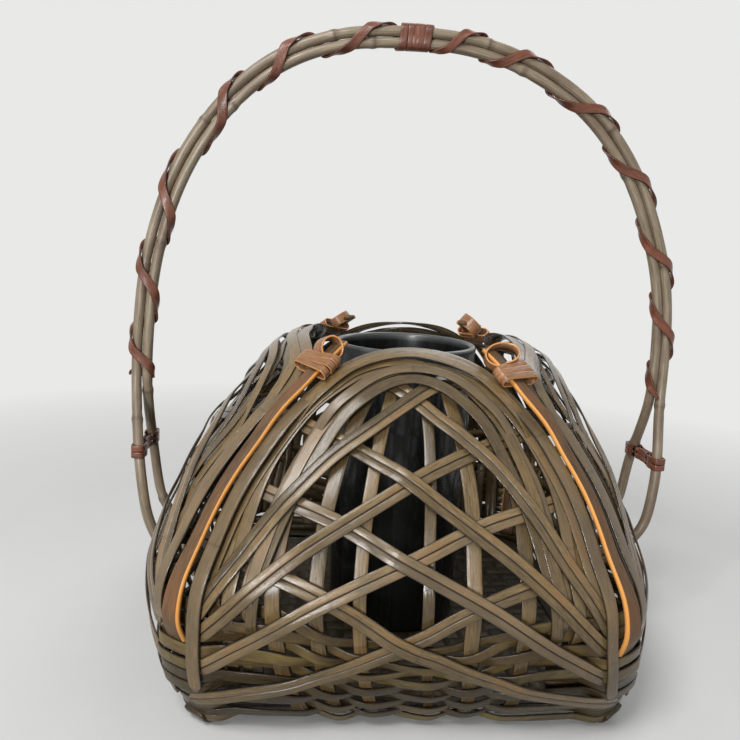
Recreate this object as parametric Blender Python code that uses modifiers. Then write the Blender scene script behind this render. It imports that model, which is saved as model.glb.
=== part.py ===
"""Ikebana basket of split bamboo: woven body on a square base, tall two-rod handle, lift-out water tube.

Frame: +X right, +Y to the back, +Z up, origin at the centre of the base where it meets the table.
The body is one wall surface, wall_point(angle, height), and every strip is a ribbon laid on it.
Angles round the wall start at the middle of the front and grow towards +X. Strips that cross lie on
different levels, counted outwards from the stakes, so that nothing touches.
"""
import math

import bmesh
import bpy
from mathutils import Vector

MM = 0.001

# The wall
BODY_HEIGHT = 146 * MM
BODY_HALF_WIDTH = 105.3 * MM
# Each row: distance up the wall and height as shares of BODY_HEIGHT, half width as a share of
# BODY_HALF_WIDTH, and how square the plan is there (2 is round)
WALL_SHARES = (
    (0.000, 0.022, 0.821, 12.0),
    (0.068, 0.066, 0.859, 9.0),
    (0.164, 0.157, 0.927, 6.5),
    (0.288, 0.275, 0.982, 5.0),
    (0.411, 0.391, 1.000, 4.2),
    (0.548, 0.517, 0.946, 3.6),
    (0.671, 0.635, 0.873, 3.2),
    (0.781, 0.742, 0.771, 2.9),
    (0.877, 0.835, 0.670, 2.6),
    (0.952, 0.905, 0.575, 2.4),
    (1.048, 0.950, 0.446, 2.2),
    (1.123, 0.955, 0.345, 2.0),
)
# The plan is a little narrower from side to side. Each row: distance up the wall, and share of the width
SIDE_SHARES = ((0.0, 1.0), (0.10, 0.985), (0.30, 0.962), (0.50, 0.965), (0.70, 0.985), (0.90, 1.01),
               (1.10, 1.02))
# The body stands a little to the left of the handle's middle. Each row: distance up the wall, and shift as a
# share of BODY_HALF_WIDTH
SHIFT_SHARES = ((0.0, -0.022), (0.25, -0.040), (0.50, -0.040), (0.75, -0.022), (0.95, 0.0))

# How the weave and the plan's corners are turned, and how far the front and back panels are narrower.
# Each row: distance up the wall as a share of BODY_HEIGHT, turn and squeeze in degrees
WEAVE_SHARES = (
    (0.00, 0.5, 0.5),
    (0.10, 0.9, 0.9),
    (0.22, 2.2, 2.3),
    (0.36, 3.3, 3.5),
    (0.60, 3.6, 4.2),
    (0.80, 4.0, 6.2),
    (0.96, 5.0, 11.6),
    (1.10, 5.3, 12.6),
)

# Levels of the crossing strips
STRIP_THICKNESS = 0.9 * MM
STRIP_GAP = 0.62 * MM
LEVEL = STRIP_THICKNESS + STRIP_GAP

# Stakes, which run up one side, under the base and up the other
STAKE_WIDTH = 7 * MM
STAKE_ANGLES = (-29.0, -20.3, -10.7, 5.5, 16.0, 27.3)
# Stakes fan out by this share of their angle from the foot to the top, and keep it at the middle share
STAKE_FAN_SHARE = 0.3
STAKE_FAN_MIDDLE_SHARE = 0.45
STAKE_TOP_SHARE = 0.91
STAKE_BASE_HEIGHT = 3.6 * MM
STAKE_FOOT = 3 * MM
BASE_BEND = 9 * MM
BASE_BEND_SHARE = 0.3

# Base mat under the water tube
MAT_HALF_SHARE = 0.7597341
MAT_HALF_WIDTH = MAT_HALF_SHARE * BODY_HALF_WIDTH
MAT_THICKNESS = 1.0 * MM
MAT_CORNER = 20 * MM

# Weft rows round the foot of the wall
WEFT_ROWS = 5
WEFT_WIDTH = 6.6 * MM
WEFT_FIRST = 10.4 * MM
WEFT_STEP = 8.1 * MM
WEFT_CORNER_RISE = 12 * MM
# Levels of a row where it passes outside and inside a stake
WEFT_OUTSIDE = 1.08
WEFT_INSIDE = -1.25
# Half the angle a row spends beside a stake, and its stations round a corner, in degrees
WEFT_HALF_STAKE = 3.15
WEFT_CORNER_ANGLES = (34, 38, 41.5, 45, 48.5, 52, 56)
# Where the rise towards a corner starts and how far round it takes, in degrees from a panel's middle
WEFT_RISE_START = 10
WEFT_RISE_REACH = 22

# Arcs: each stands over one corner and runs down the panels on both sides of it
ARC_WIDTH = 6.4 * MM
# Height share of BODY_HEIGHT at each angle from the corner, in degrees
ARC_SHARES = {
    "low": ((0, 0.548), (22.5, 0.466), (45, 0.332), (67.5, 0.212), (79, 0.168), (89.3, 0.120)),
    "middle": ((0, 0.695), (22.5, 0.642), (45, 0.537), (67.5, 0.411), (78, 0.315), (88, 0.205)),
    "high": ((0, 0.846), (22.5, 0.801), (45, 0.719), (67.5, 0.575), (79, 0.430), (86.5, 0.310)),
    "top": ((0, 0.962), (22.5, 0.952), (45, 0.907), (67.5, 0.784), (76, 0.658), (84, 0.440)),
}
ARC_STATIONS = (0, 4, 8, 12, 16, 20, 24, 29, 34, 38.3, 41.5, 45, 48.5, 51.7, 56, 61, 66, 70.5, 74,
                77, 79.5, 82, 84.8)
# Level along an arc, by the angle from its corner: low over the corner, high at the foot. Where two arcs
# of a kind meet in the middle of a panel, one side goes over and the other under
ARC_UNDER = ((34, 1), (38.3, 2), (66, 2), (70.5, 3))
ARC_OVER = ((34, 1), (38.3, 2), (41.5, 3), (48.5, 3), (51.7, 2), (66, 2), (70.5, 3))
TOP_ARC_UNDER = ((29, 1), (34, 2), (56, 2), (61, 3))
TOP_ARC_OVER = ((29, 1), (34, 3))

# Arches: each stands over the middle of a panel, its legs beside the corners. Angle in degrees from the
# panel's middle and height share of BODY_HEIGHT, from the leg's foot to the crest
ARCH_SHARES = {
    "outer": ((41.4, 0.096), (41.2, 0.411), (41.0, 0.685), (40.2, 0.877), (34, 0.976), (18, 1.028),
              (0, 1.045)),
    "middle": ((36.4, 0.096), (36.3, 0.411), (37.5, 0.616), (39.0, 0.753), (37.6, 0.870), (29, 0.952),
               (15, 0.986), (0, 0.995)),
    "inner": ((32, 0.096), (32, 0.411), (30.2, 0.651), (28.8, 0.753), (26.5, 0.850), (19, 0.914),
              (9, 0.938), (0, 0.944)),
}
ARCH_WIDTH = 6.0 * MM
ARCH_STEP = 12 * MM
# Level by height share: the legs of the inner two lie lower than their crests
ARCH_LEVELS = {"outer": (4.2, 4), "middle": (2, 3), "inner": (2, 4)}
ARCH_RISE_SHARES = (0.80, 0.88)

# Corner straps of thick bamboo, which turn in under the base as feet
STRAP_WIDTH = 9 * MM
STRAP_THICKNESS = 1.8 * MM
STRAP_TOP_SHARE = 1.015
STRAP_FOOT_LENGTH = 24 * MM
STRAP_STATIONS = 15
# Places of the foot's bend, as shares of the strap's width inwards from the lowest wall station
STRAP_BEND_SHARES = (0.35, 0.9)

# Ties round the straps' upper ends
TIE_SHARE = 0.94
TIE_BAND = 9 * MM
TIE_HALF_WIDTH = 8 * MM
TIE_CLEARANCE = 1.0 * MM
# Where the strap lifts to let its tie pass under it, as shares of BODY_HEIGHT below TIE_SHARE
TIE_LIFT_SHARES = (0.18, 0.07)

# Water tube
TUBE_X = -2 * MM
TUBE_RIM_RADIUS = 33.8 * MM
TUBE_FOOT_RADIUS = 31.0 * MM
TUBE_WALL = 3.2 * MM
TUBE_FLOOR = 4 * MM
TUBE_TOP = 141.5 * MM
TUBE_EDGE = 1.2 * MM
TUBE_STEPS = 32

# Handle: two rods side by side in a tall arch, parted at the legs
HANDLE_HALF_SPAN = 125.3 * MM
HANDLE_CROWN = 278 * MM
HANDLE_SPRING_HEIGHT = 122 * MM
# From the left leg over the crown to the right leg: shares of the half span and of the crown's height
HANDLE_SHARES = (
    (-0.955, 0.200), (-0.982, 0.300), (-0.996, 0.380), (-1.000, 0.445), (-0.993, 0.510), (-0.978, 0.588),
    (-0.943, 0.669), (-0.877, 0.757), (-0.792, 0.828), (-0.675, 0.894), (-0.547, 0.943), (-0.400, 0.976),
    (-0.230, 0.995), (-0.020, 1.000), (0.140, 0.996), (0.290, 0.982), (0.444, 0.954), (0.602, 0.911),
    (0.715, 0.862), (0.813, 0.802), (0.894, 0.728), (0.965, 0.632), (0.993, 0.548), (1.000, 0.450),
    (0.991, 0.360), (0.976, 0.283), (0.956, 0.200),
)
HANDLE_POINTS = 36
ROD_RADIUS = 2.5 * MM
ROD_CLEARANCE = 0.4 * MM
LEG_SPREAD = 16 * MM
LEG_PARTED_HEIGHT = 75 * MM
LEG_FOOT_SHARES = (0.28, 0.20, 0.12)

# Wrapping strand round the handle, and the two ties at the legs
WRAP_RADIUS = 1.0 * MM
WRAP_CLEARANCE = 0.5 * MM
# Turns of the strand, from the left leg to the right one, and how far along it is by then, as a share of the
# wound length. It crosses the front at three quarters of a turn, and its close turns bind the crown
WRAP_SHARES = ((0, 0.0), (0.75, 0.024), (1.75, 0.102), (2.75, 0.181), (3.75, 0.287), (4.75, 0.358), (5.75, 0.438),
               (6.2, 0.473), (11.45, 0.510), (11.75, 0.531), (12.75, 0.590), (13.75, 0.680), (14.75, 0.760),
               (15.75, 0.849), (16.75, 0.924), (17.75, 1.0))
WRAP_END_SHARE = 0.035
WRAP_POINTS_PER_TURN = 9
LEG_TIE_HEIGHT = 88 * MM
LEG_TIE_CLEARANCE = 0.7 * MM
LEG_TIE_POINTS = 20

CORNERS = {"front_right": 45, "back_right": 135, "back_left": 225, "front_left": 315}
PANELS = {"front": 0, "right": 90, "back": 180, "left": 270}

COLOURS = {
    "strip": ((0.30, 0.25, 0.17, 1), 0.38),
    "weft": ((0.20, 0.18, 0.10, 1), 0.42),
    "strap": ((0.33, 0.19, 0.10, 1), 0.40),
    "tie": ((0.38, 0.19, 0.10, 1), 0.35),
    "rod": ((0.27, 0.24, 0.17, 1), 0.42),
    "wrap": ((0.26, 0.09, 0.05, 1), 0.35),
    "tube": ((0.012, 0.012, 0.013, 1), 0.16),
    "mat": ((0.16, 0.14, 0.08, 1), 0.55),
}


def smooth_through(pairs, x):
    """Value at x of a smooth curve through (x, y) pairs that never overshoots them."""
    if x <= pairs[0][0]:
        return pairs[0][1]
    if x >= pairs[-1][0]:
        return pairs[-1][1]
    slopes = [(b[1] - a[1]) / (b[0] - a[0]) for a, b in zip(pairs, pairs[1:])]
    tangents = [slopes[0]]
    for before, after in zip(slopes, slopes[1:]):
        tangents.append(0 if before * after <= 0 else 2 * before * after / (before + after))
    tangents.append(slopes[-1])
    i = max(k for k in range(len(pairs) - 1) if pairs[k][0] <= x)
    step = pairs[i + 1][0] - pairs[i][0]
    t = (x - pairs[i][0]) / step
    rise = t * t * (3 - 2 * t)
    lead = t * (1 - t) * (1 - t) * tangents[i] - t * t * (1 - t) * tangents[i + 1]
    return pairs[i][1] * (1 - rise) + pairs[i + 1][1] * rise + step * lead


def steps_through(pairs, x):
    """Value at x of straight lines through (x, y) pairs, level beyond their ends."""
    if x <= pairs[0][0]:
        return pairs[0][1]
    for a, b in zip(pairs, pairs[1:]):
        if x <= b[0]:
            return a[1] + (b[1] - a[1]) * (x - a[0]) / (b[0] - a[0])
    return pairs[-1][1]


def ease(t):
    t = min(max(t, 0), 1)
    return t * t * (3 - 2 * t)


def weave_turn(up):
    return math.radians(smooth_through([(row[0], row[1]) for row in WEAVE_SHARES], up / BODY_HEIGHT))


def wall_point(angle, up):
    """Point of the stakes' middle surface, at an angle round the wall and a distance up it."""
    share = up / BODY_HEIGHT
    height = BODY_HEIGHT * smooth_through([(row[0], row[1]) for row in WALL_SHARES], share)
    half = BODY_HALF_WIDTH * smooth_through([(row[0], row[2]) for row in WALL_SHARES], share)
    square = smooth_through([(row[0], row[3]) for row in WALL_SHARES], share)
    turned = angle + weave_turn(up)
    s, c = math.sin(turned), math.cos(turned)
    radius = half / (abs(s) ** square + abs(c) ** square) ** (1 / square)
    side = smooth_through(SIDE_SHARES, share)
    shift = BODY_HALF_WIDTH * smooth_through(SHIFT_SHARES, share)
    return Vector((radius * math.sin(angle) * side + shift, -radius * math.cos(angle), height))


def wall_normal(angle, up):
    """Outward direction of the wall."""
    turn, rise = math.radians(1), BODY_HEIGHT / 200
    round_it = wall_point(angle + turn, up) - wall_point(angle - turn, up)
    up_it = wall_point(angle, up + rise) - wall_point(angle, up - rise)
    return round_it.cross(up_it).normalized()


def weave_angle(degrees, up):
    """Angle round the wall of a place in the weave, whose corners lie at 45, 135, 225 and 315 degrees."""
    plain = math.radians(degrees)
    share = up / BODY_HEIGHT
    squeeze = math.radians(smooth_through([(row[0], row[2]) for row in WEAVE_SHARES], share))
    return plain - squeeze * math.sin(2 * plain) - weave_turn(up)


def on_weave(degrees, up, level):
    """Point and outward direction of a strip at a place in the weave, on a level."""
    angle = weave_angle(degrees, up)
    normal = wall_normal(angle, up)
    return wall_point(angle, up) + normal * level * LEVEL, normal


def new_object(name, data, colour):
    obj = bpy.data.objects.new(name, data)
    PARTS.objects.link(obj)
    material = bpy.data.materials.new(name)
    material.use_nodes = True
    shader = material.node_tree.nodes["Principled BSDF"]
    shader.inputs["Base Color"].default_value = COLOURS[colour][0]
    shader.inputs["Roughness"].default_value = COLOURS[colour][1]
    shader.inputs["Metallic"].default_value = 0
    data.materials.append(material)
    return obj


def ribbon(name, stations, width, thickness, colour, closed=False):
    """A flat strip through stations, each a point and the direction its face looks."""
    mesh = bpy.data.meshes.new(name)
    bm = bmesh.new()
    rows = []
    last = len(stations) - 1
    for i, (point, normal) in enumerate(stations):
        before = stations[i - 1 if closed or i else 0][0]
        after = stations[(i + 1) % len(stations) if closed else min(i + 1, last)][0]
        side = (after - before).cross(normal).normalized() * (width / 2)
        rows.append((bm.verts.new(point - side), bm.verts.new(point + side)))
    pairs = zip(rows, rows[1:] + rows[:1] if closed else rows[1:])
    for a, b in pairs:
        bm.faces.new((a[0], a[1], b[1], b[0]))
    bm.to_mesh(mesh)
    bm.free()
    obj = new_object(name, mesh, colour)
    mesh.shade_smooth()
    solid = obj.modifiers.new("thickness", "SOLIDIFY")
    solid.thickness = thickness
    solid.offset = 0
    solid.use_even_offset = True
    return obj


def rod(name, points, radius, resolution, colour, closed=False):
    """A round rod along points."""
    curve = bpy.data.curves.new(name, "CURVE")
    curve.dimensions = "3D"
    curve.bevel_depth = radius
    curve.bevel_resolution = resolution
    curve.use_fill_caps = not closed
    spline = curve.splines.new("POLY")
    spline.points.add(len(points) - 1)
    spline.use_cyclic_u = closed
    for knot, point in zip(spline.points, points):
        knot.co = (*point, 1)
    return new_object(name, curve, colour)


def stake_angle(degrees, up):
    """Stakes fan out a little as they rise."""
    return degrees * (1 + STAKE_FAN_SHARE * (up / BODY_HEIGHT - STAKE_FAN_MIDDLE_SHARE))


def stake_side(panel, degrees, base_height):
    """Stations of a stake from its top down one wall to the start of the base."""
    top = STAKE_TOP_SHARE * BODY_HEIGHT
    foot = STAKE_FOOT
    count = 12
    stations = []
    for i in range(count):
        up = top + (foot - top) * i / (count - 1)
        stations.append(on_weave(PANELS[panel] + stake_angle(degrees, up), up, 0))
    low, low_normal = stations[-1]
    out = Vector((low.x, low.y, 0))
    inwards = -wall_normal(math.radians(PANELS[panel]), BODY_HEIGHT / 2)
    inwards.z = 0
    inwards.normalize()
    down = Vector((0, 0, -1))
    bend_height = base_height + (low.z - base_height) * BASE_BEND_SHARE
    bend = Vector((out.x, out.y, bend_height)) + inwards * BASE_BEND * BASE_BEND_SHARE
    start = Vector((out.x, out.y, base_height)) + inwards * BASE_BEND
    stations.append((bend, (low_normal + down).normalized()))
    stations.append((start, down))
    return stations


def stakes():
    for count, degrees in enumerate(STAKE_ANGLES, 1):
        near = stake_side("front", degrees, STAKE_BASE_HEIGHT)
        far = stake_side("back", -degrees, STAKE_BASE_HEIGHT)
        ribbon(f"stake_front_back_{count}", near + far[::-1], STAKE_WIDTH, STRIP_THICKNESS, "strip")
        upper = STAKE_BASE_HEIGHT + LEVEL
        near = stake_side("right", degrees, upper)
        far = stake_side("left", -degrees, upper)
        ribbon(f"stake_side_side_{count}", near + far[::-1], STAKE_WIDTH, STRIP_THICKNESS, "strip")


def mat_bottom():
    return STAKE_BASE_HEIGHT + LEVEL + STRIP_THICKNESS / 2 + STRIP_GAP


def base_mat():
    mesh = bpy.data.meshes.new("base_mat")
    bm = bmesh.new()
    bmesh.ops.create_cube(bm, size=1)
    bmesh.ops.scale(bm, vec=(2 * MAT_HALF_WIDTH, 2 * MAT_HALF_WIDTH, MAT_THICKNESS), verts=bm.verts)
    bmesh.ops.translate(bm, vec=(0, 0, mat_bottom() + MAT_THICKNESS / 2), verts=bm.verts)
    upright = [e for e in bm.edges if abs(e.verts[0].co.z - e.verts[1].co.z) > MAT_THICKNESS / 2]
    bmesh.ops.bevel(bm, geom=upright, offset=MAT_CORNER, segments=4, profile=0.5, affect="EDGES")
    bm.to_mesh(mesh)
    bm.free()
    return new_object("base_mat", mesh, "mat")


def weft_height(row, degrees):
    """Height of a weft row, which rises towards the corners, the upper rows more."""
    off_middle = abs((degrees + 45) % 90 - 45)
    rise = ease((off_middle - WEFT_RISE_START) / WEFT_RISE_REACH) * row / (WEFT_ROWS - 1)
    return WEFT_FIRST + row * WEFT_STEP + WEFT_CORNER_RISE * rise


def weft_row(row):
    """A row that goes outside one stake and inside the next."""
    places = []
    mirrored = tuple(-angle for angle in reversed(STAKE_ANGLES))
    for name, panel in PANELS.items():
        for stake, degrees in enumerate(STAKE_ANGLES if name in ("front", "right") else mirrored):
            here = stake_angle(degrees, weft_height(row, degrees))
            side = WEFT_OUTSIDE if (stake + row) % 2 else WEFT_INSIDE
            places.append((panel + here - WEFT_HALF_STAKE, side))
            places.append((panel + here + WEFT_HALF_STAKE, side))
        places.extend((panel + angle, None) for angle in WEFT_CORNER_ANGLES)
    count = len(places)
    corner_count = len(WEFT_CORNER_ANGLES)
    stations = []
    for i, (degrees, side) in enumerate(places):
        if side is None:
            run = [k for k in range(i, i + corner_count + 1) if places[k % count][1] is not None][0]
            start = run - corner_count - 1
            share = (i - start) / (run - start)
            side = places[start][1] * (1 - share) + places[run % count][1] * share
        stations.append(on_weave(degrees, weft_height(row, degrees), side))
    return ribbon(f"weft_row_{row + 1}", stations, WEFT_WIDTH, STRIP_THICKNESS, "weft", closed=True)


def arc(corner, kind):
    """A strip over a corner: it rises on the panel to its left and falls on the one to its right."""
    shares = ARC_SHARES[kind]
    reach = [angle for angle in ARC_STATIONS if angle < shares[-1][0] - 1.5] + [shares[-1][0]]
    left, right = (TOP_ARC_OVER, TOP_ARC_UNDER) if kind == "top" else (ARC_UNDER, ARC_OVER)
    stations = []
    for turn, angles, levels in ((-1, reach[:0:-1], left), (1, reach, right)):
        for angle in angles:
            up = BODY_HEIGHT * smooth_through(shares, angle)
            stations.append(on_weave(CORNERS[corner] + turn * angle, up, steps_through(levels, angle)))
    return ribbon(f"arc_{corner}_{kind}", stations, ARC_WIDTH, STRIP_THICKNESS, "strip")


def evenly(path, step):
    """Points spaced evenly along a fine path of (angle, up) places, measured on the wall."""
    places = [wall_point(weave_angle(angle, up), up) for angle, up in path]
    lengths = [0]
    for a, b in zip(places, places[1:]):
        lengths.append(lengths[-1] + (b - a).length)
    count = max(4, round(lengths[-1] / step))
    wanted = [lengths[-1] * k / count for k in range(count + 1)]
    angles = list(zip(lengths, [place[0] for place in path]))
    ups = list(zip(lengths, [place[1] for place in path]))
    return [(steps_through(angles, at), steps_through(ups, at)) for at in wanted]


def arch(panel, kind):
    """A strip over a panel, up beside one corner and down beside the other."""
    shares = ARCH_SHARES[kind]
    order = list(enumerate(shares))
    fine = 12
    half = []
    for k in range(fine * (len(shares) - 1) + 1):
        at = k / fine
        angle = smooth_through([(i, place[0]) for i, place in order], at)
        up = BODY_HEIGHT * smooth_through([(i, place[1]) for i, place in order], at)
        half.append((PANELS[panel] - angle, up))
    middle = PANELS[panel]
    path = half + [(2 * middle - angle, up) for angle, up in half[-2::-1]]
    low, high = ARCH_LEVELS[kind]
    stations = []
    for degrees, up in evenly(path, ARCH_STEP):
        share = up / BODY_HEIGHT
        level = steps_through(((ARCH_RISE_SHARES[0], low), (ARCH_RISE_SHARES[1], high)), share)
        stations.append(on_weave(degrees, up, level))
    return ribbon(f"arch_{panel}_{kind}", stations, ARCH_WIDTH, STRIP_THICKNESS, "strip")


def strap_offset(up):
    """How far a strap's middle stands off the stakes: more at the top, where the tie passes under it."""
    top_level = max(high for low, high in ARCH_LEVELS.values())
    plain = top_level * LEVEL + STRIP_THICKNESS / 2 + STRIP_GAP + STRAP_THICKNESS / 2
    lift = LEVEL + TIE_CLEARANCE - STRIP_GAP
    start, end = (TIE_SHARE - share for share in TIE_LIFT_SHARES)
    return plain + lift * steps_through(((start, 0), (end, 1)), up / BODY_HEIGHT)


def corner_strap(corner):
    stations = []
    top = STRAP_TOP_SHARE * BODY_HEIGHT
    for i in range(STRAP_STATIONS):
        up = top + (WEFT_FIRST - top) * i / (STRAP_STATIONS - 1)
        point, normal = on_weave(CORNERS[corner], up, 0)
        stations.append((point + normal * strap_offset(up), normal))
    low, low_normal = stations[-1]
    inwards = Vector((-low.x, -low.y, 0)).normalized()
    down = Vector((0, 0, -1))
    foot_height = STRAP_THICKNESS / 2
    ground = Vector((low.x, low.y, foot_height))
    first, second = (inwards * STRAP_WIDTH * share for share in STRAP_BEND_SHARES)
    stations.append((ground + first + Vector((0, 0, foot_height)), (low_normal + down * 2).normalized()))
    stations.append((ground + second, down))
    stations.append((ground + inwards * STRAP_FOOT_LENGTH, down))
    return ribbon(f"corner_strap_{corner}", stations, STRAP_WIDTH, STRAP_THICKNESS, "strap")


def corner_tie(corner):
    """A band round the upper end of a strap, flat like the strap."""
    up = TIE_SHARE * BODY_HEIGHT
    point, normal = on_weave(CORNERS[corner], up, 0)
    middle = point + normal * strap_offset(up)
    above, above_normal = on_weave(CORNERS[corner], up + STRIP_THICKNESS, 0)
    along = (above + above_normal * strap_offset(up) - middle).normalized()
    across = along.cross(normal).normalized()
    half_depth = STRAP_THICKNESS / 2 + TIE_CLEARANCE + STRIP_THICKNESS / 2
    straight = TIE_HALF_WIDTH - half_depth
    stations = []
    quarter = (-90, -45, 0, 45, 90)
    for end in (1, -1):
        for degrees in quarter:
            a = math.radians(degrees)
            facing = (across * math.cos(a) + normal * math.sin(a)) * end
            stations.append((middle + across * straight * end + facing * half_depth, facing))
    return ribbon(f"corner_tie_{corner}", stations, TIE_BAND, STRIP_THICKNESS, "tie", closed=True)


def water_tube():
    bottom = mat_bottom() + MAT_THICKNESS + STRIP_GAP
    inner_top = TUBE_RIM_RADIUS - TUBE_WALL
    inner_foot = TUBE_FOOT_RADIUS - TUBE_WALL
    profile = (
        (0, bottom + TUBE_FLOOR),
        (inner_foot, bottom + TUBE_FLOOR),
        (inner_top, TUBE_TOP - TUBE_EDGE),
        (inner_top + TUBE_EDGE, TUBE_TOP),
        (TUBE_RIM_RADIUS - TUBE_EDGE, TUBE_TOP),
        (TUBE_RIM_RADIUS, TUBE_TOP - TUBE_EDGE),
        (TUBE_FOOT_RADIUS, bottom + TUBE_EDGE),
        (TUBE_FOOT_RADIUS - TUBE_EDGE, bottom),
        (0, bottom),
    )
    mesh = bpy.data.meshes.new("water_tube")
    points = [(x, 0, z) for x, z in profile]
    mesh.from_pydata(points, [(i, i + 1) for i in range(len(points) - 1)], [])
    obj = new_object("water_tube", mesh, "tube")
    obj.location.x = TUBE_X
    screw = obj.modifiers.new("turned", "SCREW")
    screw.steps = TUBE_STEPS
    screw.render_steps = TUBE_STEPS
    screw.use_merge_vertices = True
    screw.merge_threshold = 0.01 * MM
    screw.use_smooth_shade = True
    return obj


def handle_line():
    """Middle line of the handle, left leg to right leg over the crown: points and outward directions."""
    fine = 8
    across = [(i, share[0]) for i, share in enumerate(HANDLE_SHARES)]
    upward = [(i, share[1]) for i, share in enumerate(HANDLE_SHARES)]
    places = [k / fine for k in range(fine * (len(HANDLE_SHARES) - 1) + 1)]
    xs = [HANDLE_HALF_SPAN * smooth_through(across, at) for at in places]
    zs = [HANDLE_CROWN * smooth_through(upward, at) for at in places]
    lengths = [0]
    for k in range(1, len(places)):
        lengths.append(lengths[-1] + math.hypot(xs[k] - xs[k - 1], zs[k] - zs[k - 1]))
    x_at, z_at = list(zip(lengths, xs)), list(zip(lengths, zs))
    line = []
    for k in range(HANDLE_POINTS + 1):
        at = lengths[-1] * k / HANDLE_POINTS
        line.append(Vector((steps_through(x_at, at), 0, steps_through(z_at, at))))
    result = []
    for i, point in enumerate(line):
        along = line[min(i + 1, len(line) - 1)] - line[max(i - 1, 0)]
        result.append((point, Vector((-along.z, 0, along.x)).normalized()))
    return result


def rod_point(point, outward, which):
    """Middle of one rod: which is 1 for the outer rod, whose legs stand in front, and -1 for the other."""
    parted = ease((HANDLE_SPRING_HEIGHT - point.z) / (HANDLE_SPRING_HEIGHT - LEG_PARTED_HEIGHT))
    beside = ROD_RADIUS + ROD_CLEARANCE / 2
    middle = point + outward * beside * which * (1 - parted)
    return middle + Vector((0, -LEG_SPREAD * which * parted, 0))


def rod_foot(side, which):
    """Lowest points of a leg, which lies against the outside of the side wall."""
    stand_off = 2 * LEVEL + STRIP_THICKNESS / 2 + ROD_CLEARANCE + ROD_RADIUS
    points = []
    for share in LEG_FOOT_SHARES:
        up = share * BODY_HEIGHT
        reach = wall_point(math.radians(90 * side), up).x
        angle = math.atan2(reach, LEG_SPREAD * which)
        points.append(wall_point(angle, up) + wall_normal(angle, up) * stand_off)
    return points


def handle_rods():
    line = handle_line()
    for name, which in (("handle_rod_front", 1), ("handle_rod_rear", -1)):
        middle = [rod_point(point, outward, which) for point, outward in line]
        points = rod_foot(-1, which)[::-1] + middle + rod_foot(1, which)
        rod(name, points, ROD_RADIUS, 2, "rod")


def line_at(line, lengths, at):
    """Point and outward direction at a length along the handle's middle line."""
    i = max(k for k in range(len(lengths) - 1) if lengths[k] <= at)
    share = (at - lengths[i]) / (lengths[i + 1] - lengths[i])
    point = line[i][0].lerp(line[i + 1][0], share)
    return point, line[i][1].lerp(line[i + 1][1], share).normalized()


def length_at_height(line, lengths, side, height):
    """Length along the handle's middle line at which its left (-1) or right (1) side stands at a height."""
    pairs = sorted((place[0].z, at) for place, at in zip(line, lengths) if place[0].x * side > 0)
    return steps_through(pairs, height)


def handle_wrap():
    """One strand wound round both rods, open turns on the sides and close turns at the crown."""
    line = handle_line()
    lengths = [0]
    for a, b in zip(line, line[1:]):
        lengths.append(lengths[-1] + (b[0] - a[0]).length)
    end_height = HANDLE_SPRING_HEIGHT * (1 - WRAP_END_SHARE)
    start, end = (length_at_height(line, lengths, side, end_height) for side in (-1, 1))
    by_turn = [(turn, start + (end - start) * share) for turn, share in WRAP_SHARES]
    depth = ROD_RADIUS + WRAP_CLEARANCE + WRAP_RADIUS
    beside = ROD_RADIUS + ROD_CLEARANCE / 2
    count = round(by_turn[-1][0] * WRAP_POINTS_PER_TURN)
    points = []
    for k in range(count + 1):
        turn = by_turn[-1][0] * k / count
        point, outward = line_at(line, lengths, steps_through(by_turn, turn))
        a = 2 * math.pi * turn
        push = max(-1, min(1, 2 * math.cos(a)))
        off = outward * (beside * push + depth * math.cos(a)) + Vector((0, depth * math.sin(a), 0))
        points.append(point + off)
    near = WRAP_POINTS_PER_TURN // 2
    gap = min((a - b).length for i, a in enumerate(points) for b in points[i + near:]) - 2 * WRAP_RADIUS
    print(f"handle_wrap least gap to itself {gap / MM:.2f} mm")
    return rod("handle_wrap", points, WRAP_RADIUS, 1, "wrap")


def leg_tie(name, side):
    """A loop round both rods of one leg."""
    line = handle_line()
    leg = [place for place in line if place[0].x * side > 0 and place[0].z <= HANDLE_SPRING_HEIGHT]
    leg.sort(key=lambda place: place[0].z)
    pairs = [(place[0].z, place[0].x) for place in leg]
    centre = Vector((steps_through(pairs, LEG_TIE_HEIGHT), 0, LEG_TIE_HEIGHT))
    outward = Vector((side, 0, 0))
    front = rod_point(centre, outward, 1)
    rear = rod_point(centre, outward, -1)
    reach = ROD_RADIUS + LEG_TIE_CLEARANCE + WRAP_RADIUS
    across = (front - rear).normalized()
    over = across.cross(Vector((0, 0, 1)))
    points = []
    half_count = LEG_TIE_POINTS // 2
    for end, base in ((1, front), (-1, rear)):
        for k in range(half_count):
            a = math.radians(-90 + 180 * k / (half_count - 1))
            points.append(base + (across * math.cos(a) + over * math.sin(a)) * reach * end)
    return rod(name, points, WRAP_RADIUS, 1, "wrap", closed=True)


def build():
    stakes()
    base_mat()
    for row in range(WEFT_ROWS):
        weft_row(row)
    for corner in CORNERS:
        for kind in ARC_SHARES:
            arc(corner, kind)
    for panel in PANELS:
        for kind in ARCH_SHARES:
            arch(panel, kind)
    for corner in CORNERS:
        corner_strap(corner)
        corner_tie(corner)
    water_tube()
    handle_rods()
    handle_wrap()
    leg_tie("handle_tie_left", -1)
    leg_tie("handle_tie_right", 1)


for old in list(bpy.data.objects):
    bpy.data.objects.remove(old)
PARTS = bpy.data.collections.new("ikebana_basket")
bpy.context.scene.collection.children.link(PARTS)
build()
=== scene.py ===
"""Looks of the ikebana basket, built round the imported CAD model.

The wall, the weave and the strips' paths repeat the source's tables, so that each visible strip lies where
its CAD solid lies. The strips here are finer: split, crowned, woven in and out, and bound at the ends.
Lengths are in metres, unless a name or a comment says mm. Angles of the weave are in degrees, from the middle
of the front towards +X. Names with SAMPLES count the points of a path.
"""
import math
import random

import bpy
import numpy as np
from mathutils import Matrix, Vector


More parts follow.
